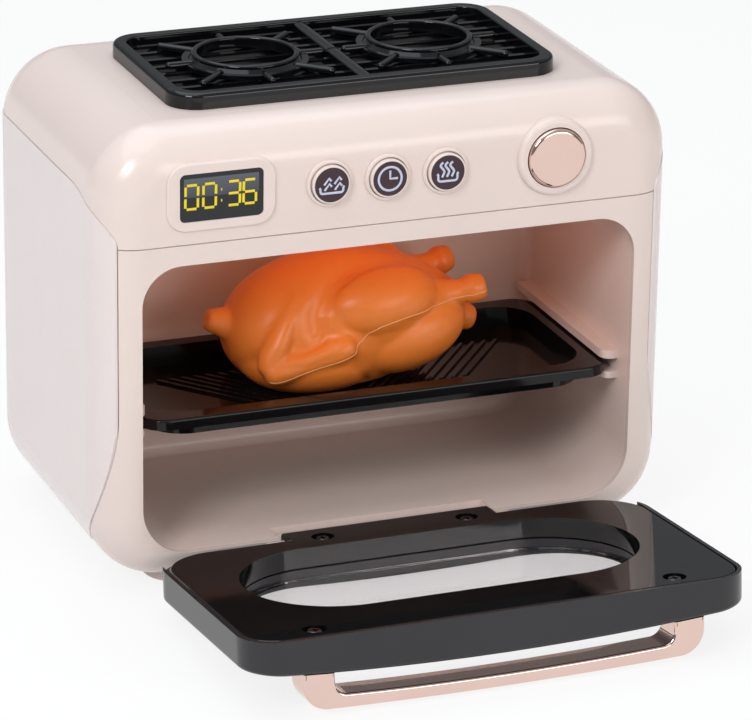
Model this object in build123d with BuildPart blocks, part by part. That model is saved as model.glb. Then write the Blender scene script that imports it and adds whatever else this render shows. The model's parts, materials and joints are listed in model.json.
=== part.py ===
from build123d import *
from math import cos, radians, sin
import os

# Toy oven with a drop-down door, a pull-out tray with a roast chicken, play buttons and a hob top.
# Millimetres, +Z up, the front faces -Y. The table is at Z = 0, X = 0 is the middle of the width,
# and Y = 0 is the middle of the overall depth with the door open. "Depth" below is measured
# rearwards from the front plane of the casing.

# Casing: outer form and wall
casing_width = 210.0
casing_depth = 130.0
casing_bottom = 4.5
casing_top = 166.5
corner_round = 25.0
front_round = 16.0
rear_round = 24.0
wall = 2.2

# Seams between the casing's covers
front_seam = 127.5
seam_width = 0.4
seam_depth = 0.9
side_panel_depth = 7.5
side_top = 144.0
side_bottom = 12.5
side_margin = 2.5
side_proud = 0.3
side_front_top = (28.0, 16.5)
side_front_bottom = (30.0, 55.0)
side_rear_round = 12.0

# Oven cavity
frame_side = 15.0
opening_bottom = 15.5
opening_top = 120.1
opening_top_round = 14.0
opening_bottom_round = 18.0
cavity_depth = 91.0
cavity_crease = 4.0
liner_wall = 2.0

# Cavity lamp
lamp_hole = 10.0
lamp_depth = 42.0
lens_flange = (2.0, 1.4)
lens_drop = 1.0
lens_edge = 0.9
lamp_board_size = (18.0, 14.0, 3.0)

# Tray rails: two ribs on each side wall, with the tray's rim between them
rail_reach = 5.4
rail_start = 11.0
rail_end = 89.0
rail_front_round = 4.0
lower_rail_bottom = 55.8
lower_rail_top = 58.2
upper_rail_bottom = 63.1
upper_rail_top = 66.1

# Door: sizes from the hinge axis, with the door lying open
door_open_angle = 84.2
hinge_depth = 1.0
hinge_height = 11.5
face_above_axis = 5.4
door_near = 107.9
door_hinge_edge = 6.4
door_side_gap = 0.6
door_near_round = 13.4
door_hinge_round = 19.0
door_side_thickness = 11.0
door_bulge = 3.9
door_wall = 2.0
panel_thickness = 2.4
panel_margin = 1.5
panel_groove = 0.25
panel_chamfer = 0.6
window_side = 18.9
window_near = 82.4
window_far = 16.9
window_wall = 1.8
panel_window_depth = 7.0
window_groove = 0.6
pane_thickness = 1.6
pane_edge = 2.0
tongue_width = 76.0
tongue_reach = 4.6
tongue_round = 3.0
tongue_thickness = 3.6
tongue_bow = 1.5
barrel_radius = 3.0
tongue_screw_place = (11.2, 7.0)
door_screw_place = (25.4, 9.0)
door_screw_recess = (8.0, 2.2)
door_screw_boss = 10.0
door_outer_round = 1.6
door_hinge_taper = 3.0
pane_ledge = 0.6
panel_overlap = 3.0
cup_floor = 2.0
cup_room = 4.0
door_boss_hole = 5.0
door_screw_length = 6.0

# Hinge: notch in the casing's lip, lugs beside the tongue, and pins
notch_width = 80.0
notch_depth = 12.0
notch_slope = 3.0
hinge_clearance = 0.5
lug_radius = 3.4
lug_gap = 0.4
lip_block_width = 92.0
lip_block_depth = 14.0
pin_diameter = 2.4
pin_length = 12.0
pin_clearance = 0.15

# Door handle
handle_inset = 18.2
handle_strap = 12.0
handle_thickness = 4.5
handle_near = 107.3
handle_drop = 25.0
handle_bow = 1.4
handle_post = 11.0
handle_corner = 9.0
handle_edge = 1.0

# Control panel
panel_height = 143.9
bezel_inset = 42.7
bezel_size = (38.4, 23.8)
bezel_round = 7.0
bezel_rise = 1.0
bezel_root = 1.2
window_size = (29.6, 16.8)
window_round = 2.0
window_sink = 0.4
window_clearance = 0.05
module_margin = 1.5
button_middle = -2.8
button_pitch = 21.0
button_ring = 16.6
button_ring_rise = 1.2
button_diameter = 13.6
button_disc = 12.2
button_disc_thickness = 0.4
button_rise = 2.6
button_travel = 1.2
button_dome = 0.1
cap_round = 0.5
button_clearance = 0.35
start_inset = 46.4
start_height = 144.8
start_boss = 27.6
start_boss_rise = 2.0
start_sleeve = 4.6
start_diameter = 20.9
start_rise = 3.8
start_dome = 0.4
start_edge = 1.6
start_travel = 1.6
cap_flange_thickness = 1.2
cap_flange_reach = 1.4
stem_diameter = 5.0

# Circuit board behind the control panel
board_depth = 17.0
board_thickness = 1.6
board_corner = 2.0
board_hole_clearance = 0.2
board_screw_length = 7.0
chip_place = (-20.0, 0.0)
chip_diameter = 14.0
connector_place = (40.0, 8.0)
connector_size = (12.0, 5.0)
chip_height = 2.5
board_inset = 20.0
board_tall = 28.0
board_height = 142.5
board_middle = -2.0
board_screw_inset = (4.0, 3.0)
switch_size = 6.2
switch_height = 3.6
switch_plunger = 3.4
switch_plunger_height = 1.0
contact_gap = 0.3

# Hob
hob_inset = 34.25
hob_length = 77.0
hob_depth = 22.4
hob_rise = 5.6
hob_round = 11.0
hob_rim = 4.6
hob_edge = 1.6
hob_inner_edge = 0.8
hob_floor = 1.5
hob_rib_count = 8
hob_rib_width = 2.0
hob_rib_rise = 3.0
hob_divider = 4.6
hob_divider_drop = 1.4
hob_divider_crown = 0.9
hob_nick = (1.2, 1.9)
hob_peg = 4.0
hob_peg_inset = 12.0
hob_peg_clearance = 0.1
hob_peg_length = 5.0
burner_pitch = 64.4
burner_outer = 37.4
burner_inner = 33.4
burner_top = 7.2
burner_step = (1.0, 1.2)
burner_edge = 0.8
burner_rods = 8
flange_diameter = 44.0
flange_thickness = 1.6
rod_diameter = 2.6
rod_reach = (29.0, 34.0)
rod_inner = 19.5

# Tray
tray_side_gap = 3.0
tray_start = 7.5
tray_length = 76.0
tray_round = 10.0
tray_rim_top = 62.2
tray_rim_thickness = 1.5
tray_rim_width = 5.0
tray_lip = 1.5
tray_lip_bottom = 58.5
tray_wall = 1.6
tray_bottom = 53.7
tray_taper = 12.0
tray_body_round = 15.0
tray_rib_rise = 0.8
tray_rib_width = 1.2
tray_rib_length = 40.0
tray_rib_count = 9
tray_rib_first = 16.0
tray_rib_pitch = 4.5
tray_rib_angle = 51.0

# Chicken
chicken_depth = 50.2

# Rear: cover, batteries, switch and speaker
rear_cover_inset = 26.0
rear_cover_tall = 111.0
rear_cover_height = 85.5
rear_cover_round = 10.0
rear_ledge = 3.0
rear_lip = 1.1
battery_diameter = 14.2
battery_length = 50.5
battery_count = 3
battery_pitch = 14.8
battery_box_wall = 1.6
battery_drop = 23.5
battery_end_room = 4.0
battery_cover_margin = 1.4
battery_cover_thickness = 1.2
battery_cover_round = 2.0
battery_tab = (11.0, 9.0)
battery_nub = (5.5, 1.0)
contact_size = 10.0
contact_plate = 0.5
spring_radii = (4.0, 2.6)
dome_radii = (2.5, 1.8)
battery_play = 0.4
cover_clearance = 0.15
grille_hole = 2.0
grille_pitch = 4.6
speaker_diameter = 36.0
speaker_thickness = 7.0
speaker_place = (39.0, 112.0)
switch_slot = (14.0, 7.0)
switch_place = (35.0, 112.0)
rear_post_inset = 9.0
rear_post_rises = (-47.5, 28.5)
slider_knob = (7.0, 5.6)
slider_travel = 6.0
knob_rise = 0.8
knob_ridge = (1.8, 0.7, 0.5)
slot_round = 1.0
switch_wall = 2.5
switch_depth = 8.0
speaker_cone = (1.2, 3.0, 1.5, 4.0)
screw_shank = 2.6
screw_head = 5.2
screw_head_height = 1.8
boss_diameter = 6.5
boss_hole_depth = 8.0
screw_slot = (0.6, 0.7, 0.9)
screw_head_chamfer = 0.5
rear_screw_length = 9.0
battery_screw_length = 6.0
base_screw_length = 8.0
base_screw_recess = 2.4
base_screw_clearance = 0.3

# Base plate
base_inset = 22.0
base_screw_inset = 23.0
base_screw_depths = (24.0, 100.0)
base_margin = 10.0
base_round = 12.0
foot_diameter = 12.0
foot_height = 1.2
foot_inset = 12.0
base_edge = 1.0

os.makedirs("parts", exist_ok=True)

# Worked-out places
side_line = casing_width / 2 - side_panel_depth
opening_width = casing_width - 2 * frame_side
door_width = opening_width - 2 * door_side_gap
window_length = door_width - 2 * window_side
handle_width = door_width - 2 * handle_inset
tray_width = opening_width - 2 * tray_side_gap
hob_size = (casing_width - 2 * hob_inset, hob_length)
board_size = (casing_width - 2 * board_inset, board_tall)
rear_cover_size = (casing_width - 2 * rear_cover_inset, rear_cover_tall)
battery_height = rear_cover_height - battery_drop
bezel_centre = bezel_inset - casing_width / 2
start_centre = casing_width / 2 - start_inset
speaker_centre = (speaker_place[0] - rear_cover_size[0] / 2, speaker_place[1])
switch_centre = (rear_cover_size[0] / 2 - switch_place[0], switch_place[1])
base_width = casing_width - 2 * base_inset
door_screw_places = (
    (tongue_width / 2 - tongue_screw_place[0], tongue_screw_place[1]),
    (door_width / 2 - door_screw_place[0], door_near - door_screw_place[1]),
)
board_screw_places = [
    (board_middle + side * (board_size[0] / 2 - board_screw_inset[0]),
     board_height + level * (board_size[1] / 2 - board_screw_inset[1]))
    for side in (-1, 1) for level in (-1, 1)
]
casing_height = casing_top - casing_bottom
casing_middle = (casing_top + casing_bottom) / 2
door_tilt = 90.0 - door_open_angle
handle_outer = handle_drop + handle_bow - face_above_axis
door_reach = handle_near * cos(radians(door_tilt)) + handle_outer * sin(radians(door_tilt)) - hinge_depth
front_y = (door_reach - casing_depth) / 2
rear_y = front_y + casing_depth
door_plane = Plane(
    origin=(0, front_y + hinge_depth, hinge_height),
    x_dir=(1, 0, 0),
    z_dir=(0, sin(radians(door_tilt)), cos(radians(door_tilt))),
)
hob_middle_y = front_y + hob_depth + hob_size[1] / 2


def facing(depth):
    """Plane parallel to the front, `depth` behind it: local x is +X, local y is +Z, out is forwards."""
    return Plane.XZ.offset(-(front_y + depth))


def from_rear(depth):
    """Plane parallel to the rear, `depth` inside it: local x is -X, local y is +Z, out is rearwards."""
    return Plane(origin=(0, rear_y - depth, 0), x_dir=(-1, 0, 0), z_dir=(0, 1, 0))


def casing_form(inset):
    """Closed block of the casing's outer form, moved in by `inset`."""
    with BuildPart() as form:
        with BuildSketch(facing(inset)):
            with Locations((0, casing_middle)):
                RectangleRounded(casing_width - 2 * inset, casing_height - 2 * inset, corner_round - inset)
        extrude(amount=-(casing_depth - 2 * inset))
        fillet(form.faces().sort_by(Axis.Y)[0].edges(), front_round - inset)
        fillet(form.faces().sort_by(Axis.Y)[-1].edges(), rear_round - inset)
    return form.part


def opening_form(grow, start, end, crease):
    """Block with the cavity's cross-section grown by `grow`, its back edges rounded by `crease`."""
    half = opening_width / 2 + grow
    low = opening_bottom - grow
    high = opening_top + grow
    with BuildPart() as form:
        with BuildSketch(facing(start)) as section:
            with BuildLine():
                Polyline((-half, low), (half, low), (half, high), (-half, high), close=True)
            make_face()
            fillet(section.vertices().group_by(Axis.Y)[-1], opening_top_round + grow)
            fillet(section.vertices().group_by(Axis.Y)[0], opening_bottom_round + grow)
        extrude(amount=-(end - start))
        fillet(form.faces().sort_by(Axis.Y)[-1].edges(), crease)
    return form.part


def side_zone(gap):
    """Block that holds the right-hand side cover, with its outline in side view moved in by `gap`."""
    front = front_y + side_margin + gap
    rear = rear_y - side_margin - gap
    high = side_top - gap
    low = side_bottom + gap
    front_top = (side_front_top[0] - gap, side_front_top[1] - gap)
    front_bottom = (side_front_bottom[0] - gap, side_front_bottom[1] - gap)
    rear_round_side = side_rear_round - gap
    with BuildPart() as zone:
        with BuildSketch(Plane.YZ.offset(side_line + gap)):
            with BuildLine():
                Line((front + front_top[0], high), (rear - rear_round_side, high))
                CenterArc((rear - rear_round_side, high - rear_round_side), rear_round_side, 0, 90)
                Line((rear, high - rear_round_side), (rear, low + rear_round_side))
                CenterArc((rear - rear_round_side, low + rear_round_side), rear_round_side, 270, 90)
                Line((rear - rear_round_side, low), (front + front_bottom[0], low))
                EllipticalCenterArc((front + front_bottom[0], low + front_bottom[1]),
                                    front_bottom[0], front_bottom[1], start_angle=180, arc_size=90)
                Line((front, low + front_bottom[1]), (front, high - front_top[1]))
                EllipticalCenterArc((front + front_top[0], high - front_top[1]),
                                    front_top[0], front_top[1], start_angle=90, arc_size=90)
            make_face()
        extrude(amount=casing_width / 2)
    return zone.part


def rear_block(shrink, start, end):
    """Rear cover's outline moved in by `shrink`, between two depths inside the rear face."""
    with BuildPart() as block:
        with BuildSketch(from_rear(start)):
            with Locations((0, rear_cover_height)):
                RectangleRounded(rear_cover_size[0] - 2 * shrink, rear_cover_size[1] - 2 * shrink,
                                 rear_cover_round - shrink)
        extrude(amount=start - end)
    return block.part


outer_form = casing_form(0.0)
proud_form = casing_form(-side_proud)
seam_form = casing_form(seam_depth)
inner_form = casing_form(wall)
right_zone = side_zone(0.0)
left_zone = mirror(right_zone, about=Plane.YZ)
right_zone_outer = side_zone(seam_width)
rear_opening = rear_block(0.0, rear_lip, -1.0)
rear_ledge_opening = rear_block(rear_ledge, wall + 1.0, 0.0)
mouth = opening_form(0.0, -1.0, cavity_depth, cavity_crease)


# ---- Top cover: roof and control panel in one moulding
button_xs = [button_middle + button_pitch * k for k in (-1, 0, 1)]

with BuildPart() as top_cover:
    add(outer_form)
    add(inner_form, mode=Mode.SUBTRACT)
    split(bisect_by=Plane.XY.offset(front_seam), keep=Keep.TOP)
    add(right_zone, mode=Mode.SUBTRACT)
    add(left_zone, mode=Mode.SUBTRACT)
    add(rear_opening, mode=Mode.SUBTRACT)
    add(rear_ledge_opening, mode=Mode.SUBTRACT)
    # raised frame round the display
    with BuildSketch(facing(bezel_root)):
        with Locations((bezel_centre, panel_height)):
            RectangleRounded(bezel_size[0], bezel_size[1], bezel_round)
    bezel = extrude(amount=bezel_root + bezel_rise)
    fillet(bezel.faces().sort_by(Axis.Y)[0].edges(), bezel_rise * 0.7)
    with BuildSketch(facing(-bezel_rise)):
        with Locations((bezel_centre, panel_height)):
            RectangleRounded(window_size[0], window_size[1], window_round)
    extrude(amount=-(bezel_rise + 2 * wall), mode=Mode.SUBTRACT)
    # rings round the small buttons
    with BuildSketch(facing(0)):
        with Locations(*[(x, panel_height) for x in button_xs]):
            Circle(button_ring / 2)
    extrude(amount=button_ring_rise)
    with BuildSketch(facing(start_sleeve)):
        with Locations((start_centre, start_height)):
            Circle(start_boss / 2)
    extrude(amount=start_sleeve + start_boss_rise)
    ring_edges = top_cover.edges().filter_by(GeomType.CIRCLE).filter_by_position(
        Axis.Y, front_y - button_ring_rise - 0.01, front_y - button_ring_rise + 0.01)
    fillet(ring_edges, button_ring_rise * 0.5)
    boss_edges = top_cover.edges().filter_by(GeomType.CIRCLE).filter_by_position(
        Axis.Y, front_y - start_boss_rise - 0.01, front_y - start_boss_rise + 0.01)
    fillet(boss_edges, start_boss_rise * 0.8)
    with BuildSketch(facing(-2 * start_boss_rise)):
        with Locations(*[(x, panel_height) for x in button_xs]):
            Circle(button_diameter / 2 + button_clearance)
        with Locations((start_centre, start_height)):
            Circle(start_diameter / 2 + button_clearance)
    extrude(amount=-(2 * start_boss_rise + start_sleeve + wall), mode=Mode.SUBTRACT)
    # posts that carry the circuit board
    with BuildSketch(facing(wall)):
        with Locations(*board_screw_places):
            Circle(boss_diameter / 2)
    extrude(amount=-(board_depth - wall))
    with BuildSketch(facing(board_depth)):
        with Locations(*board_screw_places):
            Circle(screw_shank / 2)
    extrude(amount=boss_hole_depth, mode=Mode.SUBTRACT)
    # holes for the hob's pegs
    with Locations(Plane(origin=(0, hob_middle_y, casing_top))):
        with GridLocations(hob_size[0] - 2 * hob_peg_inset, hob_size[1] - 2 * hob_peg_inset, 2, 2):
            Hole(hob_peg / 2 + hob_peg_clearance, depth=2 * wall)
top_cover.part.label = "top_cover"
export_step(top_cover.part, "parts/top_cover.step")


# ---- Lower shell: front frame, underside and corners, with the hinge notch and lugs
hinge_y = front_y + hinge_depth
half_tongue = tongue_width / 2
lug_start = half_tongue + lug_gap
lug_end = lip_block_width / 2 - 1.0
pin_end = half_tongue + pin_length / 2
pocket_radius = barrel_radius + tongue_round + hinge_clearance
liner_floor = opening_bottom - liner_wall
base_screw_places = [(side * (base_width / 2 - base_screw_inset), front_y + depth)
                     for side in (-1, 1) for depth in base_screw_depths]

with BuildPart() as seam_ring:
    add(outer_form)
    add(seam_form, mode=Mode.SUBTRACT)
    split(bisect_by=Plane.XY.offset(front_seam - seam_width), keep=Keep.TOP)

with BuildPart() as lip_block:
    add(outer_form)
    with Locations((0, front_y + lip_block_depth / 2, (casing_bottom + liner_floor) / 2)):
        Box(lip_block_width, lip_block_depth, liner_floor - casing_bottom, mode=Mode.INTERSECT)

with BuildPart() as lower_shell:
    add(outer_form)
    add(inner_form, mode=Mode.SUBTRACT)
    split(bisect_by=Plane.XY.offset(front_seam), keep=Keep.BOTTOM)
    add(right_zone, mode=Mode.SUBTRACT)
    add(left_zone, mode=Mode.SUBTRACT)
    add(rear_opening, mode=Mode.SUBTRACT)
    add(rear_ledge_opening, mode=Mode.SUBTRACT)
    add(seam_ring.part, mode=Mode.SUBTRACT)
    add(lip_block.part)
    add(mouth, mode=Mode.SUBTRACT)
    # pocket in which the door's tongue turns, open to the front and into the cavity
    with BuildSketch(Plane.YZ.offset(-notch_width / 2)):
        with Locations((hinge_y, hinge_height)):
            Circle(pocket_radius)
        with BuildLine():
            Polyline(
                (hinge_y - 2 * pocket_radius, hinge_height),
                (hinge_y + pocket_radius, hinge_height),
                (front_y + notch_depth, opening_bottom - notch_slope),
                (front_y + notch_depth, opening_bottom + 1.0),
                (hinge_y - 2 * pocket_radius, opening_bottom + 1.0),
                close=True,
            )
        make_face()
    extrude(amount=notch_width, mode=Mode.SUBTRACT)
    # lugs that hold the hinge pins
    with BuildSketch(Plane.YZ.offset(lug_start)):
        with Locations((hinge_y, hinge_height)):
            Circle(lug_radius)
    lug = extrude(amount=lug_end - lug_start)
    mirror(lug, about=Plane.YZ)
    with BuildSketch(Plane.YZ.offset(-pin_end)):
        with Locations((hinge_y, hinge_height)):
            Circle(pin_diameter / 2 + pin_clearance)
    extrude(amount=2 * pin_end, mode=Mode.SUBTRACT)
    # bosses for the base plate's screws
    with BuildSketch(Plane.XY.offset(casing_bottom + wall)):
        with Locations(*base_screw_places):
            Circle(boss_diameter / 2)
    extrude(amount=liner_floor - casing_bottom - wall)
    with BuildSketch(Plane.XY.offset(casing_bottom)):
        with Locations(*base_screw_places):
            Circle(screw_shank / 2)
    extrude(amount=liner_floor - casing_bottom - 1.0, mode=Mode.SUBTRACT)
lower_shell.part.label = "lower_shell"
export_step(lower_shell.part, "parts/lower_shell.step")


# ---- Side covers: rounded panels that stand a little proud of the shells
with BuildPart() as side_face:
    add(proud_form)
    add(seam_form, mode=Mode.SUBTRACT)
    add(right_zone_outer, mode=Mode.INTERSECT)
with BuildPart() as side_backing:
    add(seam_form)
    add(inner_form, mode=Mode.SUBTRACT)
    add(right_zone, mode=Mode.INTERSECT)
with BuildPart() as side_cover_right:
    add(side_face.part)
    add(side_backing.part)
side_cover_right.part.label = "side_cover_right"
export_step(side_cover_right.part, "parts/side_cover_right.step")

with BuildPart() as side_cover_left:
    mirror(side_cover_right.part, about=Plane.YZ)
side_cover_left.part.label = "side_cover_left"
export_step(side_cover_left.part, "parts/side_cover_left.step")


# ---- Cavity liner: five-sided box with the tray rails
rear_post_places = [(side * (rear_cover_size[0] / 2 - rear_post_inset), rear_cover_height + rise)
                    for side in (-1, 1) for rise in rear_post_rises]
liner_back = cavity_depth + liner_wall

with BuildPart() as cavity_liner:
    add(opening_form(liner_wall, 0.0, liner_back, cavity_crease + liner_wall))
    add(inner_form, mode=Mode.INTERSECT)
    add(mouth, mode=Mode.SUBTRACT)
    # rails, with the front corner rounded
    for low, high in ((lower_rail_bottom, lower_rail_top), (upper_rail_bottom, upper_rail_top)):
        with BuildSketch(Plane.XY.offset(low)) as rail_plan:
            with Locations((opening_width / 2 - rail_reach, front_y + rail_start)):
                Rectangle(rail_reach + liner_wall / 2, rail_end - rail_start, align=(Align.MIN, Align.MIN))
            fillet(rail_plan.vertices().group_by(Axis.X)[0].sort_by(Axis.Y)[0], rail_front_round)
        rail = extrude(amount=high - low)
        mirror(rail, about=Plane.YZ)
    # notch over the hinge pocket
    with BuildSketch(Plane.XY.offset(liner_floor - 1.0)):
        with Locations((0, front_y)):
            Rectangle(notch_width, notch_depth, align=(Align.CENTER, Align.MIN))
    extrude(amount=liner_wall + 2.0, mode=Mode.SUBTRACT)
    # posts for the rear cover's screws
    with BuildSketch(facing(liner_back)):
        with Locations(*rear_post_places):
            Circle(boss_diameter / 2)
    extrude(amount=-(casing_depth - wall - liner_back))
    with BuildSketch(facing(casing_depth - wall)):
        with Locations(*rear_post_places):
            Circle(screw_shank / 2)
    extrude(amount=rear_screw_length + 1.0, mode=Mode.SUBTRACT)
    # hole for the lamp's lens
    with Locations(Plane(origin=(0, front_y + lamp_depth, opening_top + liner_wall))):
        Hole(lamp_hole / 2, depth=2 * liner_wall)
cavity_liner.part.label = "cavity_liner"
export_step(cavity_liner.part, "parts/cavity_liner.step")


# ---- Rear cover: flush plate with speaker grille, switch slot and battery opening
battery_inside = (battery_length + 2 * battery_end_room, battery_count * battery_pitch)
tab_height = battery_height + battery_inside[1] / 2 + battery_tab[1] / 2


def battery_opening(shrink, thickness, depth):
    """Battery cover's stepped outline moved in by `shrink`, sunk from `depth` by `thickness`."""
    with BuildPart() as block:
        with BuildSketch(from_rear(depth)):
            with Locations((0, battery_height)):
                RectangleRounded(battery_inside[0] + 2 * (battery_cover_margin - shrink),
                                 battery_inside[1] + 2 * (battery_cover_margin - shrink), battery_cover_round)
            with Locations((0, tab_height)):
                RectangleRounded(battery_tab[0] - 2 * shrink, battery_tab[1] - 2 * shrink, battery_cover_round)
        extrude(amount=-thickness)
    return block.part


with BuildPart() as rear_cover:
    add(rear_block(cover_clearance, rear_lip, 0.0))
    add(rear_block(rear_ledge + cover_clearance, wall, rear_lip))
    # stepped opening for the battery cover
    add(battery_opening(0.0, battery_cover_thickness, 0.0), mode=Mode.SUBTRACT)
    with BuildSketch(from_rear(0)):
        with Locations((0, battery_height)):
            Rectangle(*battery_inside)
    extrude(amount=-2 * wall, mode=Mode.SUBTRACT)
    # boss behind the battery cover's screw
    with BuildSketch(from_rear(wall)):
        with Locations((0, tab_height + battery_box_wall)):
            Circle(boss_diameter / 2)
    extrude(amount=-battery_screw_length)
    with BuildSketch(from_rear(0)):
        with Locations((0, tab_height + battery_box_wall)):
            Circle(screw_shank / 2)
    extrude(amount=-(battery_screw_length + 1.0), mode=Mode.SUBTRACT)
    # speaker grille
    with BuildSketch(from_rear(0)):
        with Locations(speaker_centre):
            Circle(grille_hole / 2)
            with PolarLocations(grille_pitch, 6):
                Circle(grille_hole / 2)
            with PolarLocations(2 * grille_pitch, 12):
                Circle(grille_hole / 2)
    extrude(amount=-2 * wall, mode=Mode.SUBTRACT)
    # power switch slot
    with BuildSketch(from_rear(0)):
        with Locations(switch_centre):
            RectangleRounded(switch_slot[0], switch_slot[1], slot_round)
    extrude(amount=-2 * wall, mode=Mode.SUBTRACT)
    # screw holes
    with BuildSketch(from_rear(0)):
        with Locations(*rear_post_places):
            Circle(screw_shank / 2)
    extrude(amount=-2 * wall, mode=Mode.SUBTRACT)
    with BuildSketch(from_rear(0)):
        with Locations(*rear_post_places):
            Circle(screw_head / 2)
    extrude(amount=-rear_lip, mode=Mode.SUBTRACT)
rear_cover.part.label = "rear_cover"
export_step(rear_cover.part, "parts/rear_cover.step")


# ---- Battery compartment
rear_inner = rear_y - wall
battery_room = battery_diameter + battery_play
box_outer = (battery_inside[0] + 2 * battery_box_wall, battery_inside[1] + 2 * battery_box_wall)
battery_y = rear_inner - battery_room / 2

with BuildPart() as battery_cover:
    add(battery_opening(cover_clearance, battery_cover_thickness, 0.0))
    with BuildSketch(from_rear(battery_cover_thickness)):
        with Locations((0, battery_height)):
            Rectangle(battery_inside[0] - 2 * cover_clearance, battery_inside[1] - 2 * cover_clearance)
    extrude(amount=-(wall - battery_cover_thickness))
    with BuildSketch(from_rear(0)):
        with Locations((0, tab_height + battery_box_wall)):
            Circle(screw_shank / 2 + cover_clearance)
    extrude(amount=-wall, mode=Mode.SUBTRACT)
battery_cover.part.label = "battery_cover"
export_step(battery_cover.part, "parts/battery_cover.step")

with BuildPart() as battery_box:
    with BuildSketch(from_rear(wall)):
        with Locations((0, battery_height)):
            Rectangle(*box_outer)
    extrude(amount=-(battery_room + battery_box_wall))
    with BuildSketch(from_rear(wall)):
        with Locations((0, battery_height)):
            Rectangle(*battery_inside)
    extrude(amount=-battery_room, mode=Mode.SUBTRACT)
battery_box.part.label = "battery_box"
export_step(battery_box.part, "parts/battery_box.step")

battery_rows = [battery_height + battery_pitch * (k - (battery_count - 1) / 2) for k in range(battery_count)]
battery_ends = [1 if k % 2 == 0 else -1 for k in range(battery_count)]
contact_reach = battery_inside[0] / 2 - contact_plate

with BuildPart() as batteries:
    for row, end in zip(battery_rows, battery_ends):
        start = Plane(origin=(-end * battery_length / 2, battery_y, row), x_dir=(0, 1, 0), z_dir=(end, 0, 0))
        with BuildSketch(start):
            Circle(battery_diameter / 2)
        extrude(amount=battery_length - battery_nub[1])
        with BuildSketch(start.offset(battery_length - battery_nub[1])):
            Circle(battery_nub[0] / 2)
        extrude(amount=battery_nub[1])
batteries.part.label = "batteries"
export_step(batteries.part, "parts/batteries.step")

with BuildPart() as battery_contacts:
    for row, end in zip(battery_rows, battery_ends):
        for side in (-1, 1):
            plate = Plane(origin=(side * contact_reach, battery_y, row), x_dir=(0, 1, 0), z_dir=(side, 0, 0))
            with BuildSketch(plate):
                Rectangle(contact_size, contact_size)
            extrude(amount=contact_plate)
            # spring at the flat end, low dome at the nub end
            with BuildSketch(plate):
                Circle(spring_radii[0] if side == -end else dome_radii[0])
            with BuildSketch(plate.offset(-(contact_reach - battery_length / 2))):
                Circle(spring_radii[1] if side == -end else dome_radii[1])
            loft()
battery_contacts.part.label = "battery_contacts"
export_step(battery_contacts.part, "parts/battery_contacts.step")


# ---- Speaker and power switch on the rear cover
with BuildPart() as speaker:
    speaker_axis = Plane(origin=(-speaker_centre[0], rear_inner, speaker_centre[1]),
                         x_dir=(1, 0, 0), z_dir=(0, 0, 1))
    with BuildSketch(speaker_axis):
        with BuildLine():
            radius = speaker_diameter / 2
            Polyline((0, -speaker_cone[0]), (radius - speaker_cone[1], 0), (radius, 0),
                     (radius, -speaker_cone[2]), (radius / 2, -speaker_cone[3]),
                     (radius / 2, -speaker_thickness), (0, -speaker_thickness), close=True)
        make_face()
    revolve(axis=Axis((-speaker_centre[0], rear_inner, speaker_centre[1]), (0, 1, 0)))
speaker.part.label = "speaker"
export_step(speaker.part, "parts/speaker.step")

slider_plate = (slider_knob[0] + 2 * slider_travel, slider_knob[1] + 3.0)
slider_gap = 0.15
slider_thickness = 1.2
slider_off = (switch_centre[0] + slider_travel / 2, switch_centre[1])

with BuildPart() as power_slider:
    with BuildSketch(from_rear(wall + slider_gap)):
        with Locations(slider_off):
            Rectangle(*slider_plate)
    extrude(amount=-slider_thickness)
    with BuildSketch(from_rear(wall + slider_gap)):
        with Locations(slider_off):
            RectangleRounded(slider_knob[0], slider_knob[1], slot_round)
    extrude(amount=wall + slider_gap + knob_rise)
    # finger ridges across the knob
    with BuildSketch(from_rear(-knob_rise)):
        with Locations(slider_off):
            with GridLocations(knob_ridge[0], 1.0, 3, 1):
                Rectangle(knob_ridge[1], slider_knob[1])
    extrude(amount=-knob_ridge[2], mode=Mode.SUBTRACT)
power_slider.part.label = "power_slider"
export_step(power_slider.part, "parts/power_slider.step")

channel = (slider_plate[0] + slider_travel + 1.0, slider_plate[1] + 0.8)
switch_body = (channel[0] + 2 * switch_wall, channel[1] + switch_wall, switch_depth)

with BuildPart() as power_switch:
    with BuildSketch(from_rear(wall)):
        with Locations(switch_centre):
            Rectangle(switch_body[0], switch_body[1])
    extrude(amount=-switch_body[2])
    with BuildSketch(from_rear(wall)):
        with Locations(switch_centre):
            Rectangle(*channel)
    extrude(amount=-(slider_thickness + 2 * slider_gap), mode=Mode.SUBTRACT)
power_switch.part.label = "power_switch"
export_step(power_switch.part, "parts/power_switch.step")


# ---- Screws, one node for each set of identical ones
def screw(plane, length):
    """Pan-head screw whose head sits on `plane` and whose shank runs into it."""
    with BuildPart() as fastener:
        with BuildSketch(plane):
            Circle(screw_shank / 2)
        extrude(amount=-length)
        with BuildSketch(plane):
            Circle(screw_head / 2)
        extrude(amount=screw_head_height)
        chamfer(fastener.faces().sort_by(Axis(plane.origin, plane.z_dir))[-1].edges(), screw_head_chamfer)
        with BuildSketch(plane.offset(screw_head_height)):
            Rectangle(screw_head * screw_slot[0], screw_slot[1])
            Rectangle(screw_slot[1], screw_head * screw_slot[0])
        extrude(amount=-screw_slot[2], mode=Mode.SUBTRACT)
    return fastener.part


with BuildPart() as rear_screws:
    for x, z in rear_post_places:
        add(screw(Plane(origin=(x, rear_y - rear_lip, z), x_dir=(-1, 0, 0), z_dir=(0, 1, 0)),
                  rear_screw_length))
rear_screws.part.label = "rear_screws"
export_step(rear_screws.part, "parts/rear_screws.step")

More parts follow.
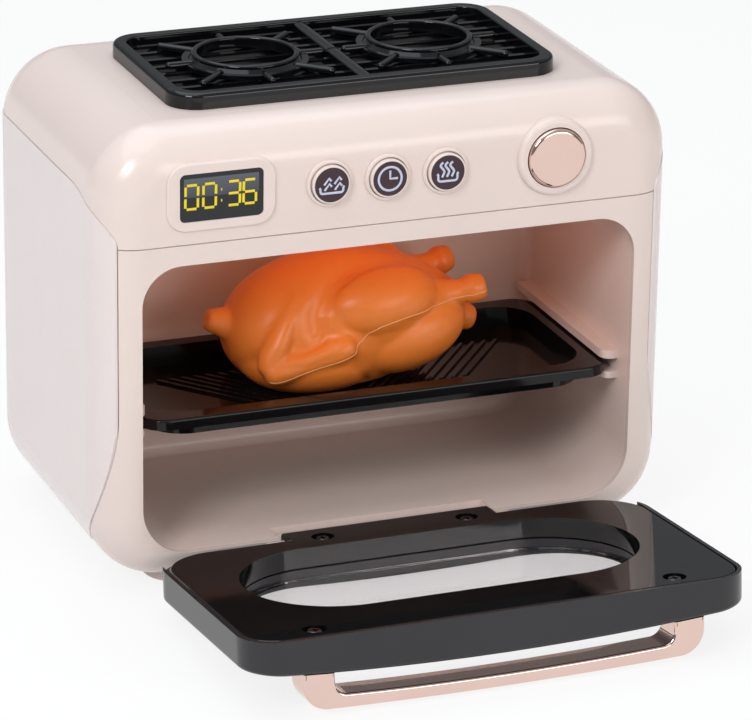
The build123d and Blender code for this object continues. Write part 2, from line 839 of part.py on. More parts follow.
with BuildPart() as battery_cover_screw:
    add(screw(Plane(origin=(0, rear_y, tab_height + battery_box_wall), x_dir=(-1, 0, 0), z_dir=(0, 1, 0)),
              battery_screw_length))
battery_cover_screw.part.label = "battery_cover_screw"
export_step(battery_cover_screw.part, "parts/battery_cover_screw.step")


# ---- Base plate with rubber feet
plate_bottom = foot_height / 2
base_length = casing_depth - 2 * base_margin
base_middle_y = front_y + casing_depth / 2
foot_places = [(side * (base_width / 2 - foot_inset), base_middle_y + end * (base_length / 2 - foot_inset))
               for side in (-1, 1) for end in (-1, 1)]

with BuildPart() as base_plate:
    with BuildSketch(Plane.XY.offset(plate_bottom)):
        with Locations((0, base_middle_y)):
            RectangleRounded(base_width, base_length, base_round)
    extrude(amount=casing_bottom + wall)
    add(outer_form, mode=Mode.SUBTRACT)
    fillet(base_plate.faces().sort_by(Axis.Z)[0].edges(), base_edge)
    with BuildSketch(Plane.XY.offset(plate_bottom)):
        with Locations(*foot_places):
            Circle(foot_diameter / 2)
    extrude(amount=foot_height / 2, mode=Mode.SUBTRACT)
    with BuildSketch(Plane.XY):
        with Locations(*base_screw_places):
            Circle(screw_shank / 2)
    extrude(amount=casing_bottom + wall, mode=Mode.SUBTRACT)
    with BuildSketch(Plane.XY):
        with Locations(*base_screw_places):
            Circle(screw_head / 2 + base_screw_clearance)
    extrude(amount=base_screw_recess, mode=Mode.SUBTRACT)
base_plate.part.label = "base_plate"
export_step(base_plate.part, "parts/base_plate.step")

with BuildPart() as rubber_feet:
    with BuildSketch(Plane.XY):
        with Locations(*foot_places):
            Circle(foot_diameter / 2)
    extrude(amount=foot_height)
rubber_feet.part.label = "rubber_feet"
export_step(rubber_feet.part, "parts/rubber_feet.step")

with BuildPart() as base_screws:
    for x, y in base_screw_places:
        add(screw(Plane(origin=(x, y, base_screw_recess), z_dir=(0, 0, -1)), base_screw_length))
base_screws.part.label = "base_screws"
export_step(base_screws.part, "parts/base_screws.step")


# ---- Hob: frame with ribs and divider, and two burner rings on the ribs
hob_inner = (hob_size[0] - 2 * hob_rim, hob_size[1] - 2 * hob_rim)
hob_inner_round = hob_round - hob_rim + 1.0
rib_pitch = hob_inner[1] / hob_rib_count
divider_shoulder = hob_rise - hob_divider_drop

with BuildPart() as hob_plate:
    with BuildSketch(Plane.XY.offset(casing_top)):
        with Locations((0, hob_middle_y)):
            RectangleRounded(hob_size[0], hob_size[1], hob_round)
    extrude(amount=hob_rise)
    fillet(hob_plate.faces().sort_by(Axis.Z)[-1].edges(), hob_edge)
    with BuildSketch(Plane.XY.offset(casing_top + hob_floor)):
        with Locations((0, hob_middle_y)):
            RectangleRounded(hob_inner[0], hob_inner[1], hob_inner_round)
    extrude(amount=hob_rise, mode=Mode.SUBTRACT)
    fillet(hob_plate.faces().filter_by(Axis.Z).sort_by(Axis.Z)[-1].inner_wires()[0].edges(), hob_inner_edge)
    with BuildSketch(Plane.XY.offset(casing_top)):
        with Locations((0, hob_middle_y)):
            with GridLocations(1.0, rib_pitch, 1, hob_rib_count):
                Rectangle(hob_inner[0] + 1.0, hob_rib_width)
    extrude(amount=hob_rib_rise)
    # divider across the middle, rounded on top, with a nick half way
    with BuildSketch(Plane.XZ.offset(-(hob_middle_y - hob_inner[1] / 2 - 0.5))):
        with Locations((0, casing_top)):
            Rectangle(hob_divider, divider_shoulder, align=(Align.CENTER, Align.MIN))
        with Locations((0, casing_top + divider_shoulder)):
            Ellipse(hob_divider / 2, hob_divider_crown)
    extrude(amount=-(hob_inner[1] + 1.0))
    with BuildSketch(Plane.YZ.offset(-hob_divider)):
        with Locations((hob_middle_y, casing_top + hob_rise)):
            Polygon((-hob_nick[0], 0), (0, -hob_nick[1]), (hob_nick[0], 0), align=None)
    extrude(amount=2 * hob_divider, mode=Mode.SUBTRACT)
    # pegs into the top cover
    with BuildSketch(Plane.XY.offset(casing_top)):
        with Locations((0, hob_middle_y)):
            with GridLocations(hob_size[0] - 2 * hob_peg_inset, hob_size[1] - 2 * hob_peg_inset, 2, 2):
                Circle(hob_peg / 2)
    extrude(amount=-hob_peg_length)
hob_plate.part.label = "hob_plate"
export_step(hob_plate.part, "parts/hob_plate.step")


def burner(x):
    """Burner ring with a flange and eight radial rods, standing on the hob's ribs."""
    seat = casing_top + hob_rib_rise
    rod_centre = Vector(x, hob_middle_y, seat + rod_diameter / 2)
    with BuildPart() as ring:
        with BuildSketch(Plane(origin=(x, hob_middle_y, 0), x_dir=(1, 0, 0), z_dir=(0, -1, 0))) as section:
            with BuildLine():
                Polyline(
                    (burner_inner / 2, seat),
                    (flange_diameter / 2, seat),
                    (flange_diameter / 2, seat + flange_thickness),
                    (burner_outer / 2 + burner_step[0], seat + flange_thickness),
                    (burner_outer / 2, seat + flange_thickness + burner_step[1]),
                    (burner_outer / 2, casing_top + burner_top),
                    (burner_inner / 2, casing_top + burner_top),
                    close=True,
                )
            make_face()
            fillet(section.vertices().group_by(Axis.Y)[-1], burner_edge)
        revolve(axis=Axis((x, hob_middle_y, 0), (0, 0, 1)))
        for k in range(burner_rods):
            turn = radians(360 / burner_rods * k)
            outwards = Vector(cos(turn), sin(turn), 0)
            reach = rod_reach[k % 2] - rod_diameter / 2
            with BuildSketch(Plane(origin=rod_centre + outwards * rod_inner, z_dir=outwards)):
                Circle(rod_diameter / 2)
            extrude(amount=reach - rod_inner)
            with Locations(rod_centre + outwards * reach):
                Sphere(rod_diameter / 2)
    return ring.part


with BuildPart() as burner_left:
    add(burner(-burner_pitch / 2))
burner_left.part.label = "burner_left"
export_step(burner_left.part, "parts/burner_left.step")

with BuildPart() as burner_right:
    add(burner(burner_pitch / 2))
burner_right.part.label = "burner_right"
export_step(burner_right.part, "parts/burner_right.step")


# ---- Door: local x across, local y towards the hinge, local z out of the inner face
door_section = Plane(origin=door_plane.origin, x_dir=(1, 0, 0), z_dir=-door_plane.y_dir)
outer_face = face_above_axis - door_side_thickness
panel_under = face_above_axis - panel_thickness
window_middle = -(window_near + window_far) / 2
window_height = window_near - window_far
pane_level = outer_face - door_bulge + door_wall + pane_ledge


def door_outline(inset, near_round, hinge_round, hinge_side, level, thickness):
    """Slab with the door's outline moved in by `inset`, from local height `level` up by `thickness`."""
    half = door_width / 2 - inset
    near = -(door_near - inset)
    with BuildPart() as slab:
        with BuildSketch(door_plane.offset(level)) as outline:
            with BuildLine():
                Polyline((-half, near), (half, near), (half, hinge_side), (-half, hinge_side), close=True)
            make_face()
            fillet(outline.vertices().group_by(Axis.Y)[0], near_round)
            fillet(outline.vertices().group_by(Axis.Y)[-1], hinge_round)
        extrude(amount=thickness)
    return slab.part


def door_body(inset, face_inset, top):
    """Door's full block with the bowed outer face, moved in by the two insets, up to height `top`."""
    half = door_width / 2
    low = outer_face + face_inset
    with BuildPart() as block:
        with BuildSketch(door_section.offset(door_hinge_edge + inset)):
            with BuildLine():
                Line((half, low), (half, top))
                Line((half, top), (-half, top))
                Line((-half, top), (-half, low))
                ThreePointArc((-half, low), (0, low - door_bulge), (half, low))
            make_face()
        extrude(amount=door_near - door_hinge_edge - 2 * inset)
        add(door_outline(inset, door_near_round - inset, door_near_round + door_hinge_taper - inset,
                         -door_hinge_edge - inset, outer_face - 2 * door_bulge, 3 * door_side_thickness),
            mode=Mode.INTERSECT)
    return block.part


def window_block(grow, low, high):
    """Stadium-shaped block of the door's window, grown by `grow`, between two local heights."""
    with BuildPart() as block:
        with BuildSketch(door_plane.offset(low)):
            with Locations((0, window_middle)):
                SlotOverall(window_length + 2 * grow, window_height + 2 * grow)
        extrude(amount=high - low)
    return block.part


door_screws_at = [(side * x, -y) for x, y in door_screw_places for side in (-1, 1)]
door_form = door_body(0.0, 0.0, face_above_axis)
surround_top = face_above_axis - panel_window_depth - window_groove
deep = outer_face - 2 * door_bulge
boss_top = face_above_axis - door_screw_recess[1] - cup_floor

with BuildPart() as surround:
    add(window_block(window_wall, deep, surround_top))
    add(door_form, mode=Mode.INTERSECT)

with BuildPart() as door_shell:
    add(door_form)
    fillet(door_shell.faces().sort_by(Axis(door_plane.origin, door_plane.z_dir))[0].edges(), door_outer_round)
    add(door_body(door_wall, door_wall, face_above_axis), mode=Mode.SUBTRACT)
    # seat for the inner panel: rim at the sides and near edge, open towards the hinge
    add(door_outline(panel_margin, door_near_round - panel_margin, 1.0, 5.0, panel_under,
                     2 * panel_thickness), mode=Mode.SUBTRACT)
    # surround of the window, with a ledge for the pane
    add(surround.part)
    add(window_block(0.0, pane_level, face_above_axis), mode=Mode.SUBTRACT)
    add(window_block(-pane_edge, deep, face_above_axis), mode=Mode.SUBTRACT)
    # room for the tongue and its screw cups
    with BuildSketch(door_plane.offset(boss_top)):
        Rectangle(tongue_width + 2 * panel_groove, 2 * (door_hinge_edge + door_wall + cup_room))
    extrude(amount=face_above_axis, mode=Mode.SUBTRACT)
    # screw bosses
    with BuildSketch(door_plane.offset(outer_face - 1.0)):
        with Locations(*door_screws_at):
            Circle(boss_diameter / 2)
    extrude(amount=boss_top - outer_face + 1.0)
    with BuildSketch(door_plane.offset(boss_top)):
        with Locations(*door_screws_at):
            Circle(screw_shank / 2)
    extrude(amount=-door_boss_hole, mode=Mode.SUBTRACT)
door_shell.part.label = "door_shell"
export_step(door_shell.part, "parts/door_shell.step")

with BuildPart() as door_inner_panel:
    add(door_outline(panel_margin + panel_groove, door_near_round - panel_margin, door_hinge_round,
                     -door_hinge_edge, panel_under, panel_thickness))
    chamfer(door_inner_panel.faces().sort_by(Axis(door_plane.origin, door_plane.z_dir))[-1].edges(),
            panel_chamfer)
    add(window_block(window_wall, face_above_axis - panel_window_depth, panel_under))
    # tongue and hinge barrel
    with BuildSketch(Plane(origin=door_plane.origin - door_plane.x_dir * half_tongue,
                           x_dir=door_plane.y_dir, z_dir=door_plane.x_dir)) as tongue:
        with BuildLine():
            Polyline(
                (-door_hinge_edge - panel_overlap, face_above_axis - tongue_thickness),
                (-door_hinge_edge - panel_overlap, face_above_axis),
                (tongue_reach, face_above_axis),
                (tongue_reach, face_above_axis - tongue_thickness),
                close=True,
            )
        make_face()
        fillet(tongue.vertices().sort_by(Axis((0, 0, 0), (1, 1, 0)))[-1], tongue_round)
        Rectangle(2 * barrel_radius, face_above_axis - tongue_thickness + 0.5, align=(Align.CENTER, Align.MIN))
        Circle(barrel_radius)
    extrude(amount=tongue_width)
    # the tongue's free edge is slightly hollow
    bow_radius = (half_tongue ** 2 + tongue_bow ** 2) / (2 * tongue_bow)
    with BuildSketch(door_plane):
        with Locations((0, tongue_reach - tongue_bow + bow_radius)):
            Circle(bow_radius)
    extrude(amount=face_above_axis + 1.0, mode=Mode.SUBTRACT)
    # screw cups
    with BuildSketch(door_plane.offset(boss_top)):
        with Locations(*door_screws_at):
            Circle(door_screw_boss / 2)
    extrude(amount=panel_under - boss_top)
    with BuildSketch(door_plane.offset(face_above_axis)):
        with Locations(*door_screws_at):
            Circle(door_screw_recess[0] / 2)
    extrude(amount=-door_screw_recess[1], mode=Mode.SUBTRACT)
    with BuildSketch(door_plane.offset(face_above_axis)):
        with Locations(*door_screws_at):
            Circle(screw_shank / 2)
    extrude(amount=-2 * face_above_axis, mode=Mode.SUBTRACT)
    add(window_block(0.0, deep, face_above_axis + 1.0), mode=Mode.SUBTRACT)
    # bores for the hinge pins
    with BuildSketch(Plane.YZ.offset(-half_tongue)):
        with Locations((hinge_y, hinge_height)):
            Circle(pin_diameter / 2)
    extrude(amount=pin_length / 2, mode=Mode.SUBTRACT)
    with BuildSketch(Plane.YZ.offset(half_tongue)):
        with Locations((hinge_y, hinge_height)):
            Circle(pin_diameter / 2)
    extrude(amount=-pin_length / 2, mode=Mode.SUBTRACT)
door_inner_panel.part.label = "door_inner_panel"
export_step(door_inner_panel.part, "parts/door_inner_panel.step")

with BuildPart() as door_window:
    add(window_block(-cover_clearance, pane_level, pane_level + pane_thickness))
door_window.part.label = "door_window"
export_step(door_window.part, "parts/door_window.step")

with BuildPart() as door_screws:
    for x, y in door_screws_at:
        seat = door_plane.offset(face_above_axis - door_screw_recess[1])
        add(screw(Plane(origin=seat.from_local_coords(Vector(x, y, 0)), x_dir=(1, 0, 0),
                        z_dir=door_plane.z_dir), door_screw_length))
door_screws.part.label = "door_screws"
export_step(door_screws.part, "parts/door_screws.step")

with BuildPart() as hinge_pins:
    with BuildSketch(Plane.YZ.offset(half_tongue - pin_length / 2)):
        with Locations((hinge_y, hinge_height)):
            Circle(pin_diameter / 2)
    pin = extrude(amount=pin_length - pin_clearance)
    mirror(pin, about=Plane.YZ)
hinge_pins.part.label = "hinge_pins"
export_step(hinge_pins.part, "parts/hinge_pins.step")

# ---- Handle: bowed strap on two posts
strap_low = face_above_axis - handle_drop
strap_high = strap_low + handle_thickness
post_outer = handle_width / 2
post_inner = post_outer - handle_post

with BuildPart() as door_handle:
    with BuildSketch(door_section.offset(handle_near - handle_strap)) as strap:
        with BuildLine():
            Line((post_outer, strap_low), (post_outer, outer_face))
            Line((post_outer, outer_face), (post_inner, outer_face))
            Line((post_inner, outer_face), (post_inner, strap_high))
            ThreePointArc((post_inner, strap_high), (0, strap_high - handle_bow), (-post_inner, strap_high))
            Line((-post_inner, strap_high), (-post_inner, outer_face))
            Line((-post_inner, outer_face), (-post_outer, outer_face))
            Line((-post_outer, outer_face), (-post_outer, strap_low))
            ThreePointArc((-post_outer, strap_low), (0, strap_low - handle_bow), (post_outer, strap_low))
        make_face()
        fillet(strap.vertices().group_by(Axis.Y)[0], handle_corner)
        inner_corners = strap.vertices().filter_by(lambda v: abs(abs(v.X) - post_inner) < 0.01)
        fillet(inner_corners.sort_by(Axis.Y)[:2], handle_corner - handle_thickness)
    extrude(amount=handle_strap)
    fillet(door_handle.faces().sort_by(Axis(door_plane.origin, door_plane.y_dir))[0].edges(), handle_edge)
    fillet(door_handle.faces().sort_by(Axis(door_plane.origin, door_plane.y_dir))[-1].edges(), handle_edge)
    add(door_form, mode=Mode.SUBTRACT)
door_handle.part.label = "door_handle"
export_step(door_handle.part, "parts/door_handle.step")


# ---- Tray: rim with a turned-down lip that runs between the rails
tray_middle_y = front_y + tray_start + tray_length / 2
tray_floor = tray_bottom + tray_wall


def tray_slab(inset, corner, low, high, taper=0.0):
    """Rounded slab with the tray's outline moved in by `inset`, extruded down from `high` to `low`."""
    with BuildPart() as slab:
        with BuildSketch(Plane.XY.offset(high)):
            with Locations((0, tray_middle_y)):
                RectangleRounded(tray_width - 2 * inset, tray_length - 2 * inset, corner)
        extrude(amount=-(high - low), taper=taper)
    return slab.part


with BuildPart() as tray:
    add(tray_slab(0.0, tray_round, tray_lip_bottom, tray_rim_top))
    fillet(tray.faces().sort_by(Axis.Z)[-1].edges(), tray_rim_thickness * 0.6)
    add(tray_slab(tray_lip, tray_round - tray_lip, tray_lip_bottom, tray_rim_top - tray_rim_thickness),
        mode=Mode.SUBTRACT)
    add(tray_slab(tray_rim_width, tray_body_round, tray_bottom, tray_rim_top, taper=tray_taper))
    add(tray_slab(tray_rim_width + tray_wall, tray_body_round - tray_wall, tray_floor, tray_rim_top,
                  taper=tray_taper), mode=Mode.SUBTRACT)
    # slanting ribs raised on the floor, fanned out from the middle
    with BuildSketch(Plane.XY.offset(tray_floor - 0.4)):
        for side in (-1, 1):
            for k in range(tray_rib_count):
                x = side * (tray_rib_first + k * tray_rib_pitch)
                with Locations(Location((x, tray_middle_y, 0), side * tray_rib_angle)):
                    SlotOverall(tray_rib_length, tray_rib_width)
    extrude(amount=tray_rib_rise + 0.4)
tray.part.label = "tray"
export_step(tray.part, "parts/tray.step")


# ---- Roast chicken: body, two drumsticks, two wings, tail and neck in one moulding
chicken_y = front_y + chicken_depth
chicken_seat = tray_floor + tray_rib_rise


def turned(start, end, stations):
    """Solid of revolution about the line from `start` to `end`; stations are (share of length, radius)."""
    start = Vector(*start)
    along = Vector(*end) - start
    frame = Plane(origin=start, x_dir=along.normalized(), z_dir=along.cross(Vector(0, 0, 1)).normalized())
    points = [(share * along.length, radius) for share, radius in stations]
    with BuildPart() as form:
        with BuildSketch(frame):
            with BuildLine():
                Line((points[0][0], 0), points[0])
                Spline(*points)
                Line(points[-1], (points[-1][0], 0))
                Line((points[-1][0], 0), (points[0][0], 0))
            make_face()
        revolve(axis=Axis(start, along))
    return form.part


breast = ((0.0, 5.0), (0.02, 10.0), (0.07, 16.0), (0.15, 21.0), (0.28, 25.0), (0.44, 26.5), (0.6, 25.0),
          (0.75, 21.0), (0.88, 13.5), (0.96, 8.0), (1.0, 5.0))
drumstick = ((0.0, 5.0), (0.05, 10.5), (0.18, 17.0), (0.36, 19.5), (0.52, 16.5), (0.66, 9.5), (0.76, 4.8),
             (0.84, 3.6), (0.9, 4.4), (0.96, 5.2), (1.0, 4.4))
upper_wing = ((0.0, 3.4), (0.2, 5.6), (0.6, 5.4), (1.0, 2.4))
lower_wing = ((0.0, 2.6), (0.12, 5.4), (0.45, 5.2), (0.8, 4.6), (0.94, 4.0), (1.0, 2.2))
neck = ((0.0, 2.4), (0.06, 3.1), (0.5, 4.6), (1.0, 8.0))
tail = ((0.0, 8.5), (0.5, 5.4), (0.92, 4.2), (1.0, 3.2))
# each form: start and end as (x, distance from the middle, height above the tray), and stations
middle_forms = (
    ((-45.0, 20.0), (46.0, 21.5), breast),
    ((-50.5, 24.5), (-34.0, 20.0), neck),
    ((35.0, 19.0), (50.8, 13.0), tail),
)
side_forms = (
    ((-12.0, 6.0, 21.0), (48.5, 16.5, 31.5), drumstick),
    ((-34.0, 20.5, 9.2), (-24.0, 16.0, 34.0), upper_wing),
    ((-36.5, 20.0, 9.0), (-3.0, 26.5, 15.0), lower_wing),
)

with BuildPart() as chicken:
    for start, end, stations in middle_forms:
        add(turned((start[0], chicken_y, chicken_seat + start[1]),
                   (end[0], chicken_y, chicken_seat + end[1]), stations))
    for side in (-1, 1):
        for start, end, stations in side_forms:
            add(turned((start[0], chicken_y + side * start[1], chicken_seat + start[2]),
                       (end[0], chicken_y + side * end[1], chicken_seat + end[2]), stations))
    split(bisect_by=Plane.XY.offset(chicken_seat), keep=Keep.TOP)
chicken.part.label = "chicken"
export_step(chicken.part, "parts/chicken.step")


# ---- Buttons: turned caps held behind the panel by a flange, with a printed disc on each small one
board_face = front_y + board_depth
plunger_y = board_face - switch_height - switch_plunger_height


def button_cap(x, z, radius, rise, dome, edge, travel, seat):
    """Turned cap: face, skirt through the panel, flange behind the `seat` depth and stem to the switch."""
    front = front_y - rise
    flange_front = front_y + seat + slider_gap
    flange_back = flange_front + cap_flange_thickness
    stem_end = plunger_y - travel - contact_gap
    with BuildPart() as cap:
        with BuildSketch(Plane(origin=(x, 0, z), x_dir=(1, 0, 0), z_dir=(0, 0, 1))) as section:
            with BuildLine():
                ThreePointArc((0, front - dome), (radius / 2, front - dome * 0.75), (radius, front))
                Polyline((radius, front), (radius, flange_front), (radius + cap_flange_reach, flange_front),
                         (radius + cap_flange_reach, flange_back), (stem_diameter / 2, flange_back),
                         (stem_diameter / 2, stem_end), (0, stem_end), (0, front - dome))
            make_face()
            fillet(section.vertices().sort_by_distance((radius, front, 0))[0], edge)
        revolve(axis=Axis((x, 0, z), (0, 1, 0)))
    return cap.part


def small_button(x):
    """Small cap with a shallow seat for its printed disc."""
    with BuildPart() as cap:
        add(button_cap(x, panel_height, button_diameter / 2, button_rise, button_dome, cap_round,
                       button_travel, wall))
        with BuildSketch(facing(-button_rise - 1.0)):
            with Locations((x, panel_height)):
                Circle(button_disc / 2)
        extrude(amount=-(1.0 + button_disc_thickness), mode=Mode.SUBTRACT)
    return cap.part


def button_label(x):
    """Printed disc that fills the seat in a small cap."""
    with BuildPart() as disc:
        with BuildSketch(facing(-button_rise)):
            with Locations((x, panel_height)):
                Circle(button_disc / 2)
        extrude(amount=-button_disc_thickness)
    return disc.part


with BuildPart() as button_left:
    add(small_button(button_xs[0]))
button_left.part.label = "button_left"
export_step(button_left.part, "parts/button_left.step")

with BuildPart() as button_middle_cap:
    add(small_button(button_xs[1]))
button_middle_cap.part.label = "button_middle"
export_step(button_middle_cap.part, "parts/button_middle.step")

with BuildPart() as button_right:
    add(small_button(button_xs[2]))
button_right.part.label = "button_right"
export_step(button_right.part, "parts/button_right.step")

with BuildPart() as label_left:
    add(button_label(button_xs[0]))
label_left.part.label = "label_left"
export_step(label_left.part, "parts/label_left.step")

with BuildPart() as label_middle:
    add(button_label(button_xs[1]))
label_middle.part.label = "label_middle"
export_step(label_middle.part, "parts/label_middle.step")

with BuildPart() as label_right:
    add(button_label(button_xs[2]))
label_right.part.label = "label_right"
export_step(label_right.part, "parts/label_right.step")

with BuildPart() as start_button:
    add(button_cap(start_centre, start_height, start_diameter / 2, start_rise - start_dome, start_dome,
                   start_edge, start_travel, start_sleeve))
start_button.part.label = "start_button"
export_step(start_button.part, "parts/start_button.step")


# ---- Circuit board with switches, display and its window
switch_places = [(x, panel_height) for x in button_xs] + [(start_centre, start_height)]

with BuildPart() as circuit_board:
    with BuildSketch(facing(board_depth)):
        with Locations((board_middle, board_height)):
            RectangleRounded(board_size[0], board_size[1], board_corner)
        with Locations(*board_screw_places):
            Circle(screw_shank / 2 + board_hole_clearance, mode=Mode.SUBTRACT)
    extrude(amount=-board_thickness)
    # sealed chip and a connector on the back
    with BuildSketch(facing(board_depth + board_thickness)):
        with Locations((chip_place[0], board_height + chip_place[1])):
            Circle(chip_diameter / 2)
        with Locations((connector_place[0], board_height + connector_place[1])):
            Rectangle(*connector_size)
    extrude(amount=-chip_height)
circuit_board.part.label = "circuit_board"
export_step(circuit_board.part, "parts/circuit_board.step")

with BuildPart() as key_switches:
    with BuildSketch(facing(board_depth)):
        with Locations(*switch_places):
            Rectangle(switch_size, switch_size)
    extrude(amount=switch_height)
    with BuildSketch(facing(board_depth - switch_height)):
        with Locations(*switch_places):
            Circle(switch_plunger / 2)
    extrude(amount=switch_plunger_height)
key_switches.part.label = "key_switches"
export_step(key_switches.part, "parts/key_switches.step")

with BuildPart() as board_screws:
    for x, z in board_screw_places:
        add(screw(Plane(origin=(x, board_face + board_thickness, z), x_dir=(-1, 0, 0), z_dir=(0, 1, 0)),
                  board_screw_length))
board_screws.part.label = "board_screws"
export_step(board_screws.part, "parts/board_screws.step")

with BuildPart() as display_module:
    with BuildSketch(facing(wall)):
        with Locations((bezel_centre, panel_height)):
            Rectangle(window_size[0] + 2 * module_margin, window_size[1] + 2 * module_margin)
    extrude(amount=-(board_depth - wall))
    add(inner_form, mode=Mode.INTERSECT)
display_module.part.label = "display_module"
export_step(display_module.part, "parts/display_module.step")

with BuildPart() as display_window:
    with BuildSketch(facing(-bezel_rise + window_sink)):
        with Locations((bezel_centre, panel_height)):
            RectangleRounded(window_size[0] - 2 * window_clearance, window_size[1] - 2 * window_clearance,
                             window_round)
    extrude(amount=-(wall + bezel_rise - window_sink))
display_window.part.label = "display_window"
export_step(display_window.part, "parts/display_window.step")


# ---- Cavity lamp: lens through the cavity's roof with its light above
lamp_y = front_y + lamp_depth

with BuildPart() as lamp_lens:
    with BuildSketch(Plane.XY.offset(opening_top + liner_wall)):
        with Locations((0, lamp_y)):
            Circle(lamp_hole / 2 + lens_flange[0])
    extrude(amount=lens_flange[1])
    with BuildSketch(Plane.XY.offset(opening_top + liner_wall)):
        with Locations((0, lamp_y)):
            Circle(lamp_hole / 2 - cover_clearance)
    extrude(amount=-(liner_wall + lens_drop))
    fillet(lamp_lens.edges().sort_by(Axis.Z)[0], lens_edge)
lamp_lens.part.label = "lamp_lens"
export_step(lamp_lens.part, "parts/lamp_lens.step")

with BuildPart() as lamp_board:
    with BuildSketch(Plane.XY.offset(opening_top + liner_wall + lens_flange[1])):
        with Locations((0, lamp_y)):
            Rectangle(lamp_board_size[0], lamp_board_size[1])
    extrude(amount=lamp_board_size[2])
lamp_board.part.label = "lamp_board"
export_step(lamp_board.part, "parts/lamp_board.step")
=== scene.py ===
import json
import math
import bpy
import bmesh
import numpy
from mathutils import Matrix, Vector
from mathutils.bvhtree import BVHTree


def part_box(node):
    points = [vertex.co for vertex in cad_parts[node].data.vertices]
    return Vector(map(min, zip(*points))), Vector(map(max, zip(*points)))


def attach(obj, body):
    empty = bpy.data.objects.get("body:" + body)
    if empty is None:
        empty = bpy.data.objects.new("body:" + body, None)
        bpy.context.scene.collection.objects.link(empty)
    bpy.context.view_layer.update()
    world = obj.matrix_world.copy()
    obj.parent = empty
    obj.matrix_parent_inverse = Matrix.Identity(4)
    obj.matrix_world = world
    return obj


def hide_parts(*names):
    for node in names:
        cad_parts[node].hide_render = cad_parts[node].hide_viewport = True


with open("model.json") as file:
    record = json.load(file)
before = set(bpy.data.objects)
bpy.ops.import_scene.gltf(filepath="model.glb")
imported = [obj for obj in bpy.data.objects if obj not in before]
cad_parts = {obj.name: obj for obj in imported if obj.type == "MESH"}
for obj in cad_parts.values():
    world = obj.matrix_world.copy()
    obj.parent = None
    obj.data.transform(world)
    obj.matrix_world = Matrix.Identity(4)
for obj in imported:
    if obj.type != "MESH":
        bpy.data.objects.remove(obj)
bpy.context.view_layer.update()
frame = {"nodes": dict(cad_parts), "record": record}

scene = bpy.context.scene
MM = 0.001
nodes = frame["nodes"]

# ---- camera at the photograph's angle
CAMERA_PLACE = Vector((-0.52684, -1.33415, 0.61310))
CAMERA_AZIMUTH, CAMERA_ELEVATION, CAMERA_ROLL = (math.radians(a) for a in (-21.49, 20.62, 0.88))
SENSOR_WIDTH, LENS = 36.0, 212.27
CLIP_NEAR, CLIP_FAR = 0.05, 30.0
back = Vector((math.sin(CAMERA_AZIMUTH) * math.cos(CAMERA_ELEVATION),
               -math.cos(CAMERA_AZIMUTH) * math.cos(CAMERA_ELEVATION), math.sin(CAMERA_ELEVATION)))
side = (-back).cross(Vector((0, 0, 1))).normalized()
upward = side.cross(-back)
roll_cos, roll_sin = math.cos(CAMERA_ROLL), math.sin(CAMERA_ROLL)
side, upward = side * roll_cos + upward * roll_sin, upward * roll_cos - side * roll_sin
camera_data = bpy.data.cameras.new("camera")
camera_data.sensor_width = SENSOR_WIDTH
camera_data.lens = LENS
camera_data.clip_start = CLIP_NEAR
camera_data.clip_end = CLIP_FAR
camera = bpy.data.objects.new("camera", camera_data)
scene.collection.objects.link(camera)
camera.matrix_world = Matrix((
    (side.x, upward.x, back.x, CAMERA_PLACE.x),
    (side.y, upward.y, back.y, CAMERA_PLACE.y),
    (side.z, upward.z, back.z, CAMERA_PLACE.z),
    (0, 0, 0, 1)))
scene.camera = camera
scene.view_settings.view_transform = "Standard"


# ---- materials
NOISE_LOW, NOISE_HIGH = 0.3, 0.7        # the part of the noise's range that is spread over the wanted values
BUMP_DEPTH, RIPPLE_DEPTH = 0.0002, 0.0006
SPECKLE_SHARE = 0.12                    # scale of the gloss speckle as a share of the grain's
RIPPLE_SCALE = 45.0
ACRYLIC_IOR = 1.49


def new_material(name):
    mat = bpy.data.materials.new(name)
    mat.use_nodes = True
    tree = mat.node_tree
    return mat, tree, tree.nodes["Principled BSDF"]


def add(tree, kind, **values):
    node = tree.nodes.new(kind)
    for key, value in values.items():
        setattr(node, key, value)
    return node


def noise(tree, coords, scale, detail=3.0, rough=0.5):
    node = add(tree, "ShaderNodeTexNoise")
    node.inputs["Scale"].default_value = scale
    node.inputs["Detail"].default_value = detail
    node.inputs["Roughness"].default_value = rough
    tree.links.new(coords, node.inputs["Vector"])
    return node.outputs["Fac"]


def ranged(tree, value, low, high):
    node = add(tree, "ShaderNodeMapRange")
    node.inputs["From Min"].default_value = NOISE_LOW
    node.inputs["From Max"].default_value = NOISE_HIGH
    node.inputs["To Min"].default_value = low
    node.inputs["To Max"].default_value = high
    tree.links.new(value, node.inputs["Value"])
    return node.outputs["Result"]


def blend_colours(tree, factor, first, second):
    node = add(tree, "ShaderNodeMix", data_type="RGBA")
    colour_a, colour_b = node.inputs[6], node.inputs[7]
    colour_a.default_value = (*first, 1.0)
    colour_b.default_value = (*second, 1.0)
    tree.links.new(factor, node.inputs["Factor"])
    return node.outputs[2]


def bumped(tree, height, strength, depth, under=None):
    """A normal bumped by `height`, over the normal `under` where one is given."""
    node = add(tree, "ShaderNodeBump")
    node.inputs["Strength"].default_value = strength
    node.inputs["Distance"].default_value = depth
    tree.links.new(height, node.inputs["Height"])
    if under:
        tree.links.new(under, node.inputs["Normal"])
    return node.outputs["Normal"]


